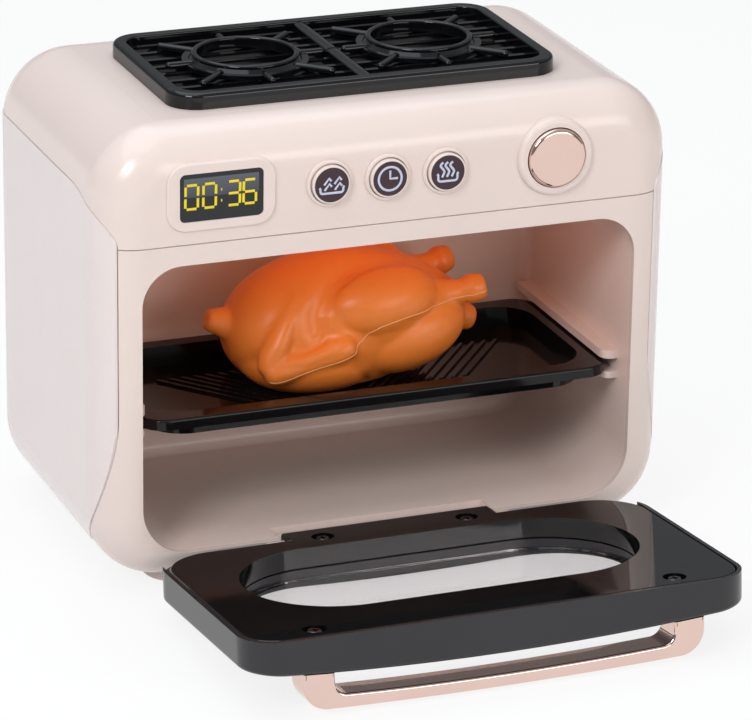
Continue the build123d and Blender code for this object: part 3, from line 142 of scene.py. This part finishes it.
def moulded(name, colour, rough, shift=0.04, grain=0.02, grain_scale=2600.0, specular=0.5,
            cloud_scale=28.0, subsurface=0.0, wave=0.0):
    """Moulded plastic: slight flow variation in colour and gloss, and a fine grain or slow ripple where given."""
    mat, tree, shader = new_material(name)
    coords = add(tree, "ShaderNodeTexCoord").outputs["Object"]
    cloud = noise(tree, coords, cloud_scale, 4.0, 0.55)
    dark = tuple(c * (1.0 - shift) for c in colour)
    light = tuple(min(1.0, c * (1.0 + shift)) for c in colour)
    tree.links.new(blend_colours(tree, ranged(tree, cloud, 0.0, 1.0), dark, light), shader.inputs["Base Color"])
    speckle = noise(tree, coords, grain_scale * SPECKLE_SHARE, 2.0)
    tree.links.new(ranged(tree, speckle, rough * 0.95, rough * 1.06), shader.inputs["Roughness"])
    normal = None
    if grain:
        normal = bumped(tree, noise(tree, coords, grain_scale, 2.0), grain, BUMP_DEPTH)
    if wave:
        normal = bumped(tree, noise(tree, coords, RIPPLE_SCALE, 1.0), wave, RIPPLE_DEPTH, normal)
    if normal:
        tree.links.new(normal, shader.inputs["Normal"])
    shader.inputs["Specular IOR Level"].default_value = specular
    if subsurface:
        shader.inputs["Subsurface Weight"].default_value = subsurface
        shader.inputs["Subsurface Radius"].default_value = (1.0, 0.6, 0.45)
        shader.inputs["Subsurface Scale"].default_value = 0.0025
    return mat


def plated(name, colour, rough, brushed=0.0):
    """Plated or bare metal with a faint haze and orange-peel ripple."""
    mat, tree, shader = new_material(name)
    coords = add(tree, "ShaderNodeTexCoord").outputs["Object"]
    haze = noise(tree, coords, 180.0, 3.0)
    tree.links.new(ranged(tree, haze, rough * 0.7, rough * 1.5), shader.inputs["Roughness"])
    tone = noise(tree, coords, 60.0, 2.0)
    tree.links.new(blend_colours(tree, ranged(tree, tone, 0.0, 1.0), tuple(c * 0.96 for c in colour), colour),
                   shader.inputs["Base Color"])
    normal = bumped(tree, noise(tree, coords, 240.0, 2.0), 0.01 + brushed, BUMP_DEPTH)
    tree.links.new(normal, shader.inputs["Normal"])
    shader.inputs["Metallic"].default_value = 1.0
    return mat


def clear(name, colour, rough, through=1.0):
    """Clear plastic with faint moulding streaks; `through` is the share of light that passes."""
    mat, tree, shader = new_material(name)
    coords = add(tree, "ShaderNodeTexCoord").outputs["Object"]
    streak = noise(tree, coords, 90.0, 2.0)
    tree.links.new(ranged(tree, streak, rough * 0.6, rough * 1.6), shader.inputs["Roughness"])
    shader.inputs["Base Color"].default_value = (*colour, 1.0)
    shader.inputs["Transmission Weight"].default_value = through
    shader.inputs["IOR"].default_value = ACRYLIC_IOR
    return mat


PINK = (0.79, 0.655, 0.60)
# painted light: the side covers are the casing's plastic; their pink is a paler, cooler copy of the casing pink,
# standing in for the cooler, brighter light that falls on the sides
PAINTED_LIGHT_SIDE_PINK = (0.80, 0.695, 0.665)
looks = {
    "casing_pink": moulded("casing_pink", PINK, 0.22, shift=0.010, grain=0.0, wave=0.006),
    # side covers: the casing's plastic in the paler, cooler painted-light copy of its pink
    "side_pink": moulded("side_pink", PAINTED_LIGHT_SIDE_PINK, 0.21, shift=0.010, grain=0.0, wave=0.006),
    "liner_pink": moulded("liner_pink", (0.83, 0.66, 0.595), 0.34, shift=0.015, grain=0.01),
    "hob_black": moulded("hob_black", (0.004, 0.004, 0.005), 0.10, shift=0.2, grain=0.006, specular=0.42),
    "tray_black": moulded("tray_black", (0.005, 0.0045, 0.005), 0.10, shift=0.2, grain=0.006, specular=0.3),
    "chicken_orange": moulded("chicken_orange", (0.80, 0.205, 0.030), 0.36, shift=0.05, grain=0.05,
                              grain_scale=1500.0, subsurface=0.10, cloud_scale=55.0, specular=0.4),
    "door_black": moulded("door_black", (0.004, 0.0035, 0.004), 0.05, shift=0.2, grain=0.006, specular=0.46),
    "door_grey": moulded("door_grey", (0.017, 0.0155, 0.018), 0.24, shift=0.08, grain=0.015),
    "rose_gold": plated("rose_gold", (0.80, 0.585, 0.515), 0.045),
    "label_brown": moulded("label_brown", (0.043, 0.018, 0.024), 0.30, shift=0.08, specular=0.4),
    "board_green": moulded("board_green", (0.02, 0.16, 0.06), 0.45, shift=0.1),
    "switch_black": moulded("switch_black", (0.02, 0.02, 0.021), 0.42, shift=0.1, grain=0.08),
    "steel": plated("steel", (0.62, 0.61, 0.60), 0.28, brushed=0.05),
    "dark_steel": plated("dark_steel", (0.10, 0.10, 0.105), 0.22, brushed=0.04),
    "battery_skin": moulded("battery_skin", (0.05, 0.05, 0.06), 0.3, shift=0.1),
    "box_white": moulded("box_white", (0.75, 0.72, 0.69), 0.42, shift=0.02, grain=0.05),
    "rubber": moulded("rubber", (0.32, 0.29, 0.28), 0.72, shift=0.06, grain=0.25, grain_scale=1200.0),
    "clear": clear("clear", (0.985, 0.94, 0.95), 0.03),
    "lens": clear("lens", (0.95, 0.93, 0.90), 0.35, through=0.6),
}


# the display's grey panel about the middle of its face: half its width, its foot and its top
PANEL_HALF, PANEL_FOOT, PANEL_TOP = 13.2 * MM, 0.1 * MM, 6.7 * MM
PANEL_LEAST, PANEL_RISE = 0.45, 0.5


def display_material():
    """Display face: near black, with a printed grey sheen over the upper half that ends in a straight edge."""
    low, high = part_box("display_window")
    mid_x, mid_z = (low[0] + high[0]) / 2, (low[2] + high[2]) / 2
    mat, tree, shader = new_material("display_black")
    coords = add(tree, "ShaderNodeTexCoord").outputs["Object"]
    split = add(tree, "ShaderNodeSeparateXYZ")
    tree.links.new(coords, split.inputs["Vector"])

    def math_node(op, a, b):
        node = add(tree, "ShaderNodeMath", operation=op)
        for socket, value in zip(node.inputs, (a, b)):
            if isinstance(value, float):
                socket.default_value = value
            else:
                tree.links.new(value, socket)
        return node.outputs[0]

    across = math_node("ABSOLUTE", math_node("SUBTRACT", split.outputs["X"], mid_x), 0.0)
    rise = math_node("SUBTRACT", split.outputs["Z"], mid_z)
    inside = math_node("LESS_THAN", across, PANEL_HALF)
    above = math_node("GREATER_THAN", rise, PANEL_FOOT)
    below_top = math_node("LESS_THAN", rise, PANEL_TOP)
    panel = math_node("MULTIPLY", math_node("MULTIPLY", inside, above), below_top)
    fade = math_node("MULTIPLY", rise, PANEL_RISE / PANEL_TOP)
    strength = math_node("MULTIPLY", panel, math_node("ADD", fade, PANEL_LEAST))
    tree.links.new(blend_colours(tree, strength, (0.014, 0.015, 0.018), (0.105, 0.115, 0.14)),
                   shader.inputs["Base Color"])
    grain = noise(tree, coords, 900.0, 2.0)
    tree.links.new(ranged(tree, grain, 0.16, 0.22), shader.inputs["Roughness"])
    shader.inputs["Specular IOR Level"].default_value = 0.4
    return mat


looks["display_black"] = looks["smoke"] = display_material()
slot_of = {row["node"]: row["material_slot"] for row in frame["record"]["subparts"]}
for name, node in nodes.items():
    node.data.materials.clear()
    node.data.materials.append(looks[slot_of[name]])

# ---- softly broken edges on the hard moulded parts, width in millimetres
WELD_GAP = 0.002 * MM
SHARP_ANGLE = math.radians(38)
FACE_WEIGHT = 70
SOFT_EDGES = {
    "hob_plate": 0.25, "burner_left": 0.25, "burner_right": 0.25, "tray": 0.25, "door_shell": 0.3,
    "door_inner_panel": 0.22, "door_handle": 0.2, "top_cover": 0.1, "lower_shell": 0.1, "cavity_liner": 0.2,
    "side_cover_left": 0.1, "side_cover_right": 0.1, "rear_cover": 0.1, "battery_cover": 0.15,
    "base_plate": 0.25, "rubber_feet": 0.2, "power_slider": 0.15, "button_left": 0.12, "button_middle": 0.12,
    "button_right": 0.12, "start_button": 0.12,
}
for name, width in SOFT_EDGES.items():
    node = nodes[name]
    weld = node.modifiers.new("weld", "WELD")
    weld.merge_threshold = WELD_GAP
    bevel = node.modifiers.new("bevel", "BEVEL")
    bevel.width = width * MM
    bevel.segments = 2
    bevel.limit_method = "ANGLE"
    bevel.angle_limit = SHARP_ANGLE
    bevel.use_clamp_overlap = True
    weighted = node.modifiers.new("weighted", "WEIGHTED_NORMAL")
    weighted.mode = "FACE_AREA"
    weighted.weight = FACE_WEIGHT
    weighted.keep_sharp = True


# ---- thin printed marks, in millimetres
ICON_STROKE, DIGIT_STROKE = 0.84, 0.95
INK_HEIGHT = 0.05
INK_GAP = 0.01 * MM                     # how far the middle of a stroke stands off its face, in metres


def evaluated_mesh(source):
    """A new mesh of the object as its modifiers leave it."""
    bpy.context.view_layer.update()
    return bpy.data.meshes.new_from_object(source.evaluated_get(bpy.context.evaluated_depsgraph_get()))


def stroke_mesh(name, lines, radius, look):
    """Round strokes along lines of (points, closed), with points and radius in metres."""
    curve = bpy.data.curves.new(name + "_lines", "CURVE")
    curve.dimensions = "3D"
    curve.bevel_depth = radius
    curve.bevel_resolution = 2
    curve.use_fill_caps = True
    for points, closed in lines:
        spline = curve.splines.new("POLY")
        spline.points.add(len(points) - 1)
        for target, point in zip(spline.points, points):
            target.co = (*point, 1.0)
        spline.use_cyclic_u = closed
    temporary = bpy.data.objects.new(name + "_temporary", curve)
    scene.collection.objects.link(temporary)
    mesh = evaluated_mesh(temporary)
    bpy.data.objects.remove(temporary)
    mesh.materials.clear()
    mesh.materials.append(look)
    return mesh


def flat_strokes(name, lines, width, plane_y, centre, look, body):
    """Printed strokes on a face that looks towards -Y: each line is points (x, z) in mm about `centre`."""
    upright = [([(x * MM, 0.0, z * MM) for x, z in points], closed) for points, closed in lines]
    mesh = stroke_mesh(name, upright, width / 2 * MM, look)
    thin = 2 * INK_HEIGHT / width
    for vertex in mesh.vertices:
        vertex.co.y *= thin
        vertex.co += Vector((centre[0] * MM, plane_y, centre[1] * MM))
    piece = bpy.data.objects.new(name, mesh)
    scene.collection.objects.link(piece)
    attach(piece, body)


def arc(cx, cz, radius, start, end, steps):
    """Points along an arc about (cx, cz), from `start` to `end` in degrees."""
    return [(cx + radius * math.cos(math.radians(start + (end - start) * k / steps)),
             cz + radius * math.sin(math.radians(start + (end - start) * k / steps))) for k in range(steps + 1)]


def smooth(points, steps=6):
    """Catmull-Rom line through the points."""
    line = []
    ends = [points[0]] + list(points) + [points[-1]]
    for a, b, c, d in zip(ends, ends[1:], ends[2:], ends[3:]):
        for k in range(steps):
            t = k / steps
            line.append(tuple(0.5 * (2 * q + (r - p) * t + (2 * p - 5 * q + 4 * r - u) * t * t
                                     + (3 * q - p - 3 * r + u) * t ** 3) for p, q, r, u in zip(a, b, c, d)))
    line.append(tuple(points[-1]))
    return line


icon_ink = moulded("icon_ink", (0.58, 0.60, 0.75), 0.4, shift=0.03, specular=0.3)
digit_ink = moulded("digit_ink", (0.86, 0.66, 0.02), 0.35, shift=0.05, specular=0.3)


def face_middle(low, high):
    """Middle (x, z) of a box's front face, in millimetres."""
    return (low[0] + high[0]) / 2 / MM, (low[2] + high[2]) / 2 / MM


def dish(half, top, bottom, round_off):
    """A shallow dish in outline, its ends hooked outwards."""
    left = [(-half - 0.35, top + 0.1), (-half, top - 0.4)]
    left += arc(-half + round_off, bottom + round_off, round_off, 180, 270, 5)
    right = [(-x, z) for x, z in reversed(left)]
    return left + right


roast = [(dish(4.1, -0.8, -2.85, 0.9), False)]
for dx, dz in ((0.0, 0.0), (3.65, 0.1), (0.15, -1.95), (3.85, -1.95)):
    roast.append(([(-2.75 + dx, 0.15 + dz), (-1.0 + dx, 2.4 + dz), (-0.2 + dx, 1.35 + dz)], False))
clock = [(arc(0, 0, 4.15, 0, 345, 23), True), ([(0.0, 2.9), (0.0, 0.0), (2.8, 0.0)], False)]
warm = [(dish(3.5, -0.3, -3.0, 1.0), False)]
STEAM = ((-1.75, 3.75), (-2.7, 2.6), (-1.5, 0.9), (-1.35, 0.1), (-2.1, -1.5))
for dx in (0.0, 1.75, 3.5):
    warm.append((smooth([(x + dx, z) for x, z in STEAM]), False))
for label, lines in (("left", roast), ("middle", clock), ("right", warm)):
    low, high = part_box("label_" + label)
    flat_strokes("icon_" + label, lines, ICON_STROKE, low[1] - INK_GAP, face_middle(low, high), icon_ink,
                 "button_" + label)

# seven-segment digits: half the width and height, and how far a segment stops short of the corner
SEGMENTS = {"0": "abcdef", "3": "abgcd", "6": "afgecd"}
HALF_W, HALF_H, TRIM = 2.2, 4.15, 0.46
DIGIT_LEAN, DIGIT_RISE = 0.02, 0.25
COLON_HALF, COLON_HEIGHTS = 0.2, (2.0, -1.9)
SEGMENT_LINES = {
    "a": ((-HALF_W + TRIM, HALF_H), (HALF_W - TRIM, HALF_H)),
    "b": ((HALF_W, HALF_H - TRIM), (HALF_W, TRIM)),
    "c": ((HALF_W, -TRIM), (HALF_W, -HALF_H + TRIM)),
    "d": ((-HALF_W + TRIM, -HALF_H), (HALF_W - TRIM, -HALF_H)),
    "e": ((-HALF_W, -TRIM), (-HALF_W, -HALF_H + TRIM)),
    "f": ((-HALF_W, HALF_H - TRIM), (-HALF_W, TRIM)),
    "g": ((-HALF_W + TRIM, 0.0), (HALF_W - TRIM, 0.0)),
}
window_low, window_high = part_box("display_window")
digit_lines = []
for digit, offset in (("0", -10.5), ("0", -4.2), ("3", 4.3), ("6", 10.0)):
    for segment in SEGMENTS[digit]:
        leaning = [(x + offset + DIGIT_LEAN * z, z + DIGIT_RISE) for x, z in SEGMENT_LINES[segment]]
        digit_lines.append((leaning, False))
for z in COLON_HEIGHTS:
    digit_lines.append(([(-COLON_HALF, z), (COLON_HALF, z)], False))
flat_strokes("display_digits", digit_lines, DIGIT_STROKE, window_low[1] - INK_GAP,
             face_middle(window_low, window_high), digit_ink, "casing")


# ---- the chicken as one soft moulding
CHICKEN_LOW, CHICKEN_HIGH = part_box("chicken")
CHICKEN_MIDDLE = (CHICKEN_LOW[1] + CHICKEN_HIGH[1]) / 2 / MM
CHICKEN_SEAT = CHICKEN_LOW[2] / MM
CHICKEN_REACH = 30.1                    # the skin's limit on each side of the middle
SKIN_VOXEL = 0.75
LEAST_RADIUS = 0.2
FLASH_RADIUS = 0.17
# All in millimetres from the chicken's middle and the tray: x, distance to the side, height.
# turned forms: start, end, and stations of (share of length, radius)
MIDDLE_FORMS = (
    ((-43.6, 0.0, 17.8), (46.0, 0.0, 21.8),
     ((0.0, 5.0), (0.02, 9.5), (0.07, 15.0), (0.15, 19.8), (0.28, 24.0), (0.44, 25.9), (0.6, 24.0),
      (0.75, 19.6), (0.88, 13.5), (0.96, 8.0), (1.0, 5.0))),
    ((-50.5, 0.0, 24.8), (-34.0, 0.0, 20.0),
     ((0.0, 2.8), (0.05, 3.8), (0.3, 5.0), (0.6, 6.8), (1.0, 10.5))),
    ((35.0, 0.0, 19.0), (50.6, 0.0, 13.2),
     ((0.0, 8.5), (0.45, 5.8), (0.88, 4.8), (0.97, 4.2), (1.0, 3.0))),
)
SIDE_FORMS = (
    ((-12.0, 6.0, 21.0), (48.3, 16.5, 31.5),
     ((0.0, 5.0), (0.05, 10.0), (0.18, 15.5), (0.36, 17.0), (0.52, 14.5), (0.66, 9.5), (0.76, 5.6), (0.84, 4.4),
      (0.885, 4.5), (0.905, 5.3), (0.94, 5.3), (0.952, 4.7), (0.966, 5.0), (0.99, 4.5), (1.0, 3.2))),
    ((-35.0, 20.5, 9.6), (-22.0, 15.0, 35.0), ((0.0, 3.6), (0.2, 5.2), (0.6, 4.6), (1.0, 2.0))),
    ((-36.2, 20.6, 9.2), (-3.6, 24.7, 18.6),
     ((0.0, 2.8), (0.06, 4.6), (0.2, 5.2), (0.5, 4.8), (0.8, 5.3), (0.93, 4.9), (0.985, 3.2), (1.0, 1.5))),
)
# thigh and hip: centre, radii and slope of each rounded lobe
SIDE_LOBES = (
    ((7.5, 13.6, 30.0), (23.0, 16.0, 13.4), 4.0),
    ((19.0, 10.5, 16.6), (24.0, 16.6, 14.4), 14.0),
    ((-13.0, 6.0, 9.6), (27.0, 20.5, 13.0), 0.0),
)
# creases (positive depth) and ridges (negative): depth, spread and the line they follow on the skin
CREASES = (
    (3.0, 3.8, ((22, 10, 45), (8, 12.0, 46), (-4, 14.5, 44), (-11, 18, 41), (-15.5, 21.5, 36),
                (-17.9, 24.0, 30), (-17.6, 25, 25))),
    (1.0, 1.1, ((20, 14.5, 43), (5, 16.1, 42.6), (-2.3, 16.7, 41.2), (-8.8, 19.2, 38.7), (-12.4, 21.7, 35.2),
                (-14.4, 23.6, 31.3), (-14.6, 25, 27), (-12.5, 26, 22.5))),
    (1.1, 1.5, ((-6, 28, 13.5), (-3, 25, 9.5), (0.6, 21.2, 5.3), (3, 17, 1.5))),
    (0.7, 1.0, ((40, 15, 24.5), (33, 18, 25.6), (25, 23, 25.3), (14, 27.5, 25.6))),
    (1.1, 1.0, ((-27, 24, 17.6), (-20.1, 24.2, 18.4), (-16, 24.8, 21.0), (-13, 25.6, 24.0), (-8.5, 26.5, 25.0),
                (-3.4, 27.0, 22.6), (-1.2, 27.2, 18.8), (-2.4, 28, 15))),
    (0.45, 0.75, ((-12.5, 28, 19.8), (-22.9, 25.5, 17.0), (-30.5, 25.2, 16.0), (-32.4, 25.3, 14.6),
                  (-30.5, 26.0, 13.0), (-22, 27.5, 13.0), (-12, 29, 16.4))),
    (-0.7, 2.6, ((-6, 15, 44), (-15, 17.5, 39.5), (-23.2, 21.4, 31.6), (-27.9, 23.3, 24.6), (-31.1, 24.6, 20))),
    (0.5, 1.3, ((-41, 8, 36), (-44, 12, 26), (-44, 13, 17), (-40, 14, 7))),
)
# the mould's parting line, first along the leg and then along the wing
PARTING = (
    ((49.0, 17.8, 31.0), (45.2, 21.2, 30.6), (40.1, 20.5, 29.4), (36.2, 19.5, 29.0), (25.3, 23.5, 28.2),
     (14.9, 28.0, 27.8), (5.6, 28.8, 25.4), (0.8, 27.8, 21.9), (-3.2, 27.5, 18.0)),
    ((-3.2, 27.5, 18.0), (-4.6, 29.5, 15.2), (-9.1, 30.0, 13.6), (-18.7, 28.6, 10.9), (-25.3, 27.4, 9.0),
     (-31.1, 25.6, 7.9), (-34.6, 23.6, 8.4)),
)


def turned_form(maker, start, end, stations, segments=44, rings=56):
    """Closed solid of revolution about the line from `start` to `end`, in millimetres."""
    start, along = Vector(start), Vector(end) - Vector(start)
    across = along.cross(Vector((0, 0, 1))).normalized()
    over = along.cross(across).normalized()
    profile = smooth(stations, max(2, rings // len(stations)))
    loops = []
    for share, radius in profile:
        middle, radius = start + along * share, max(radius, LEAST_RADIUS)
        loops.append([maker.verts.new(middle + (across * math.cos(turn) + over * math.sin(turn)) * radius)
                      for turn in (2 * math.pi * k / segments for k in range(segments))])
    for one, two in zip(loops, loops[1:]):
        for k in range(segments):
            after = (k + 1) % segments
            maker.faces.new((one[k], one[after], two[after], two[k]))
    maker.faces.new(list(reversed(loops[0])))
    maker.faces.new(loops[-1])


def lobe_form(maker, centre, radii, slope):
    """Closed ellipsoid that rises by `slope` degrees towards +X."""
    place = (Matrix.Translation(centre) @ Matrix.Rotation(math.radians(-slope), 4, "Y")
             @ Matrix.Diagonal((*radii, 1.0)))
    bmesh.ops.create_icosphere(maker, subdivisions=5, radius=1.0, matrix=place)


def remeshed(piece, voxel, rounds):
    """Give the piece its own mesh after a voxel remesh and some rounds of smoothing, and return that mesh."""
    remesh = piece.modifiers.new("remesh", "REMESH")
    remesh.mode = "VOXEL"
    remesh.voxel_size = voxel
    relax = piece.modifiers.new("relax", "SMOOTH")
    relax.factor = 0.5
    relax.iterations = rounds
    mesh = evaluated_mesh(piece)
    piece.modifiers.clear()
    piece.data = mesh
    return mesh


def distance_to_line(points, line):
    """Distance of each point to a polyline, all in the same frame."""
    best = numpy.full(len(points), 1e9)
    for a, b in zip(line, line[1:]):
        a, b = numpy.array(a, float), numpy.array(b, float)
        span = b - a
        share = numpy.clip(((points - a) @ span) / (span @ span), 0.0, 1.0)
        best = numpy.minimum(best, numpy.linalg.norm(points - (a + share[:, None] * span), axis=1))
    return best


def model_chicken():
    """The forms joined by a remesh, pressed in along the creases, and moved to the tray."""
    mesh = bpy.data.meshes.new("chicken_skin")
    maker = bmesh.new()
    for start, end, stations in MIDDLE_FORMS:
        turned_form(maker, start, end, stations)
    for hand in (-1, 1):
        for start, end, stations in SIDE_FORMS:
            turned_form(maker, (start[0], hand * start[1], start[2]), (end[0], hand * end[1], end[2]), stations)
        for (x, y, z), radii, slope in SIDE_LOBES:
            lobe_form(maker, (x, hand * y, z), radii, slope)
    bmesh.ops.recalc_face_normals(maker, faces=maker.faces)
    maker.to_mesh(mesh)
    maker.free()
    piece = bpy.data.objects.new("chicken_skin", mesh)
    scene.collection.objects.link(piece)
    mesh = remeshed(piece, SKIN_VOXEL, 5)
    count = len(mesh.vertices)
    places = numpy.empty(count * 3)
    normals = numpy.empty(count * 3)
    mesh.vertices.foreach_get("co", places)
    mesh.vertices.foreach_get("normal", normals)
    places, normals = places.reshape(-1, 3), normals.reshape(-1, 3)
    folded = places * (1, 0, 1) + numpy.abs(places) * (0, 1, 0)
    push = numpy.zeros(count)
    for depth, spread, line in CREASES:
        push += depth * numpy.exp(-(distance_to_line(folded, line) / spread) ** 2)
    places = places - normals * push[:, None]
    places[:, 1] = numpy.clip(places[:, 1], -CHICKEN_REACH, CHICKEN_REACH)
    places[:, 2] = numpy.maximum(places[:, 2], 0.0)
    places = (places + (0.0, CHICKEN_MIDDLE, CHICKEN_SEAT)) * MM
    mesh.vertices.foreach_set("co", places.ravel())
    mesh.update()
    mesh = remeshed(piece, SKIN_VOXEL * MM, 2)
    for polygon in mesh.polygons:
        polygon.use_smooth = True
    mesh.materials.clear()
    mesh.materials.append(looks["chicken_orange"])
    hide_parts("chicken")
    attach(piece, "chicken")
    return piece


def parting_line(surface, name, line, hand):
    """Thin raised flash line that follows the skin's surface."""
    laid = []
    for x, y, z in smooth(line, 8):
        place = Vector((x, CHICKEN_MIDDLE + hand * y, CHICKEN_SEAT + z)) * MM
        laid.append(surface.find_nearest(place)[0])
    mesh = stroke_mesh(name, [(laid, False)], FLASH_RADIUS * MM, flash_orange)
    for polygon in mesh.polygons:
        polygon.use_smooth = True
    piece = bpy.data.objects.new(name, mesh)
    scene.collection.objects.link(piece)
    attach(piece, "chicken")


flash_orange = moulded("flash_orange", (0.86, 0.42, 0.20), 0.45, shift=0.08, specular=0.3)
chicken = model_chicken()
skin_surface = BVHTree.FromPolygons([v.co for v in chicken.data.vertices],
                                    [p.vertices for p in chicken.data.polygons])
for number, line in enumerate(PARTING):
    for hand, where in ((-1, "near"), (1, "far")):
        parting_line(skin_surface, "chicken_parting_%s_%d" % (where, number + 1), line, hand)


# ---- floor, world and lamps
FLOOR_REACH = 12.0
FLOOR_WHITE = 0.92
FLOOR_GLOW = 0.84                       # share of plain white to camera, glossy and transmission rays


def floor_plane():
    """White floor that keeps the object's shadow: part diffuse, part plain white to the rays that see it."""
    mesh = bpy.data.meshes.new("floor")
    maker = bmesh.new()
    bmesh.ops.create_grid(maker, x_segments=2, y_segments=2, size=FLOOR_REACH)
    maker.to_mesh(mesh)
    maker.free()
    plane = bpy.data.objects.new("floor", mesh)
    scene.collection.objects.link(plane)
    mat = bpy.data.materials.new("floor")
    mat.use_nodes = True
    tree = mat.node_tree
    tree.nodes.clear()
    out = add(tree, "ShaderNodeOutputMaterial")
    diffuse = add(tree, "ShaderNodeBsdfDiffuse")
    diffuse.inputs["Color"].default_value = (FLOOR_WHITE, FLOOR_WHITE, FLOOR_WHITE, 1.0)
    glow = add(tree, "ShaderNodeEmission")
    path = add(tree, "ShaderNodeLightPath")
    seen = add(tree, "ShaderNodeMath", operation="ADD", use_clamp=True)
    tree.links.new(path.outputs["Is Camera Ray"], seen.inputs[0])
    more = add(tree, "ShaderNodeMath", operation="ADD", use_clamp=True)
    tree.links.new(path.outputs["Is Glossy Ray"], more.inputs[0])
    tree.links.new(path.outputs["Is Transmission Ray"], more.inputs[1])
    tree.links.new(more.outputs[0], seen.inputs[1])
    share = add(tree, "ShaderNodeMath", operation="MULTIPLY")
    share.inputs[1].default_value = FLOOR_GLOW
    tree.links.new(seen.outputs[0], share.inputs[0])
    mix = add(tree, "ShaderNodeMixShader")
    tree.links.new(share.outputs[0], mix.inputs["Fac"])
    tree.links.new(diffuse.outputs[0], mix.inputs[1])
    tree.links.new(glow.outputs[0], mix.inputs[2])
    tree.links.new(mix.outputs[0], out.inputs["Surface"])
    plane.data.materials.append(mat)


floor_plane()
# the world is dimmer below a band of height and brighter above it: the band's ends, and the strengths there
BAND, BAND_STRENGTHS = (0.40, 0.46), (0.24, 0.50)
SKY_COLOUR = (0.94, 0.965, 1.0)
world = bpy.data.worlds.new("studio")
scene.world = world
world.use_nodes = True
sky = world.node_tree
background = sky.nodes["Background"]
direction = add(sky, "ShaderNodeSeparateXYZ")
sky.links.new(add(sky, "ShaderNodeTexCoord").outputs["Generated"], direction.inputs["Vector"])
height = add(sky, "ShaderNodeMapRange")
height.inputs["From Min"].default_value, height.inputs["From Max"].default_value = BAND
height.inputs["To Min"].default_value, height.inputs["To Max"].default_value = BAND_STRENGTHS
sky.links.new(direction.outputs["Z"], height.inputs["Value"])
sky.links.new(height.outputs["Result"], background.inputs["Strength"])
background.inputs["Color"].default_value = (*SKY_COLOUR, 1.0)

AIM = Vector((0.0, 0.03, 0.08))


def softbox(name, place, size, power, colour, aim=AIM):
    """Rectangular lamp at `place` that faces `aim`, in metres and watts."""
    data = bpy.data.lights.new(name, "AREA")
    data.shape = "RECTANGLE"
    data.size, data.size_y = size
    data.energy = power
    data.color = colour
    lamp = bpy.data.objects.new(name, data)
    scene.collection.objects.link(lamp)
    lamp.location = place
    lamp.rotation_euler = (Vector(aim) - Vector(place)).to_track_quat("-Z", "Y").to_euler()


softbox("key", (-0.95, -0.85, 0.98), (0.5, 0.5), 8.4, (0.97, 0.985, 1.0))
softbox("fill", (0.60, -1.3, 0.50), (1.0, 0.5), 5.8, (1.0, 0.965, 0.93))
softbox("overhead", (-0.15, 0.15, 1.0), (1.2, 0.8), 5.4, (0.85, 0.93, 1.0))
# the oven's own lamp, just under its lens and facing down
LAMP_DROP = 1.5 * MM
lens_low, lens_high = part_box("lamp_lens")
lens_place = Vector(((lens_low[0] + lens_high[0]) / 2, (lens_low[1] + lens_high[1]) / 2, lens_low[2] - LAMP_DROP))
softbox("cavity_lamp", lens_place, (0.13, 0.06), 0.013, (1.0, 0.40, 0.11), aim=lens_place - Vector((0, 0, 0.05)))
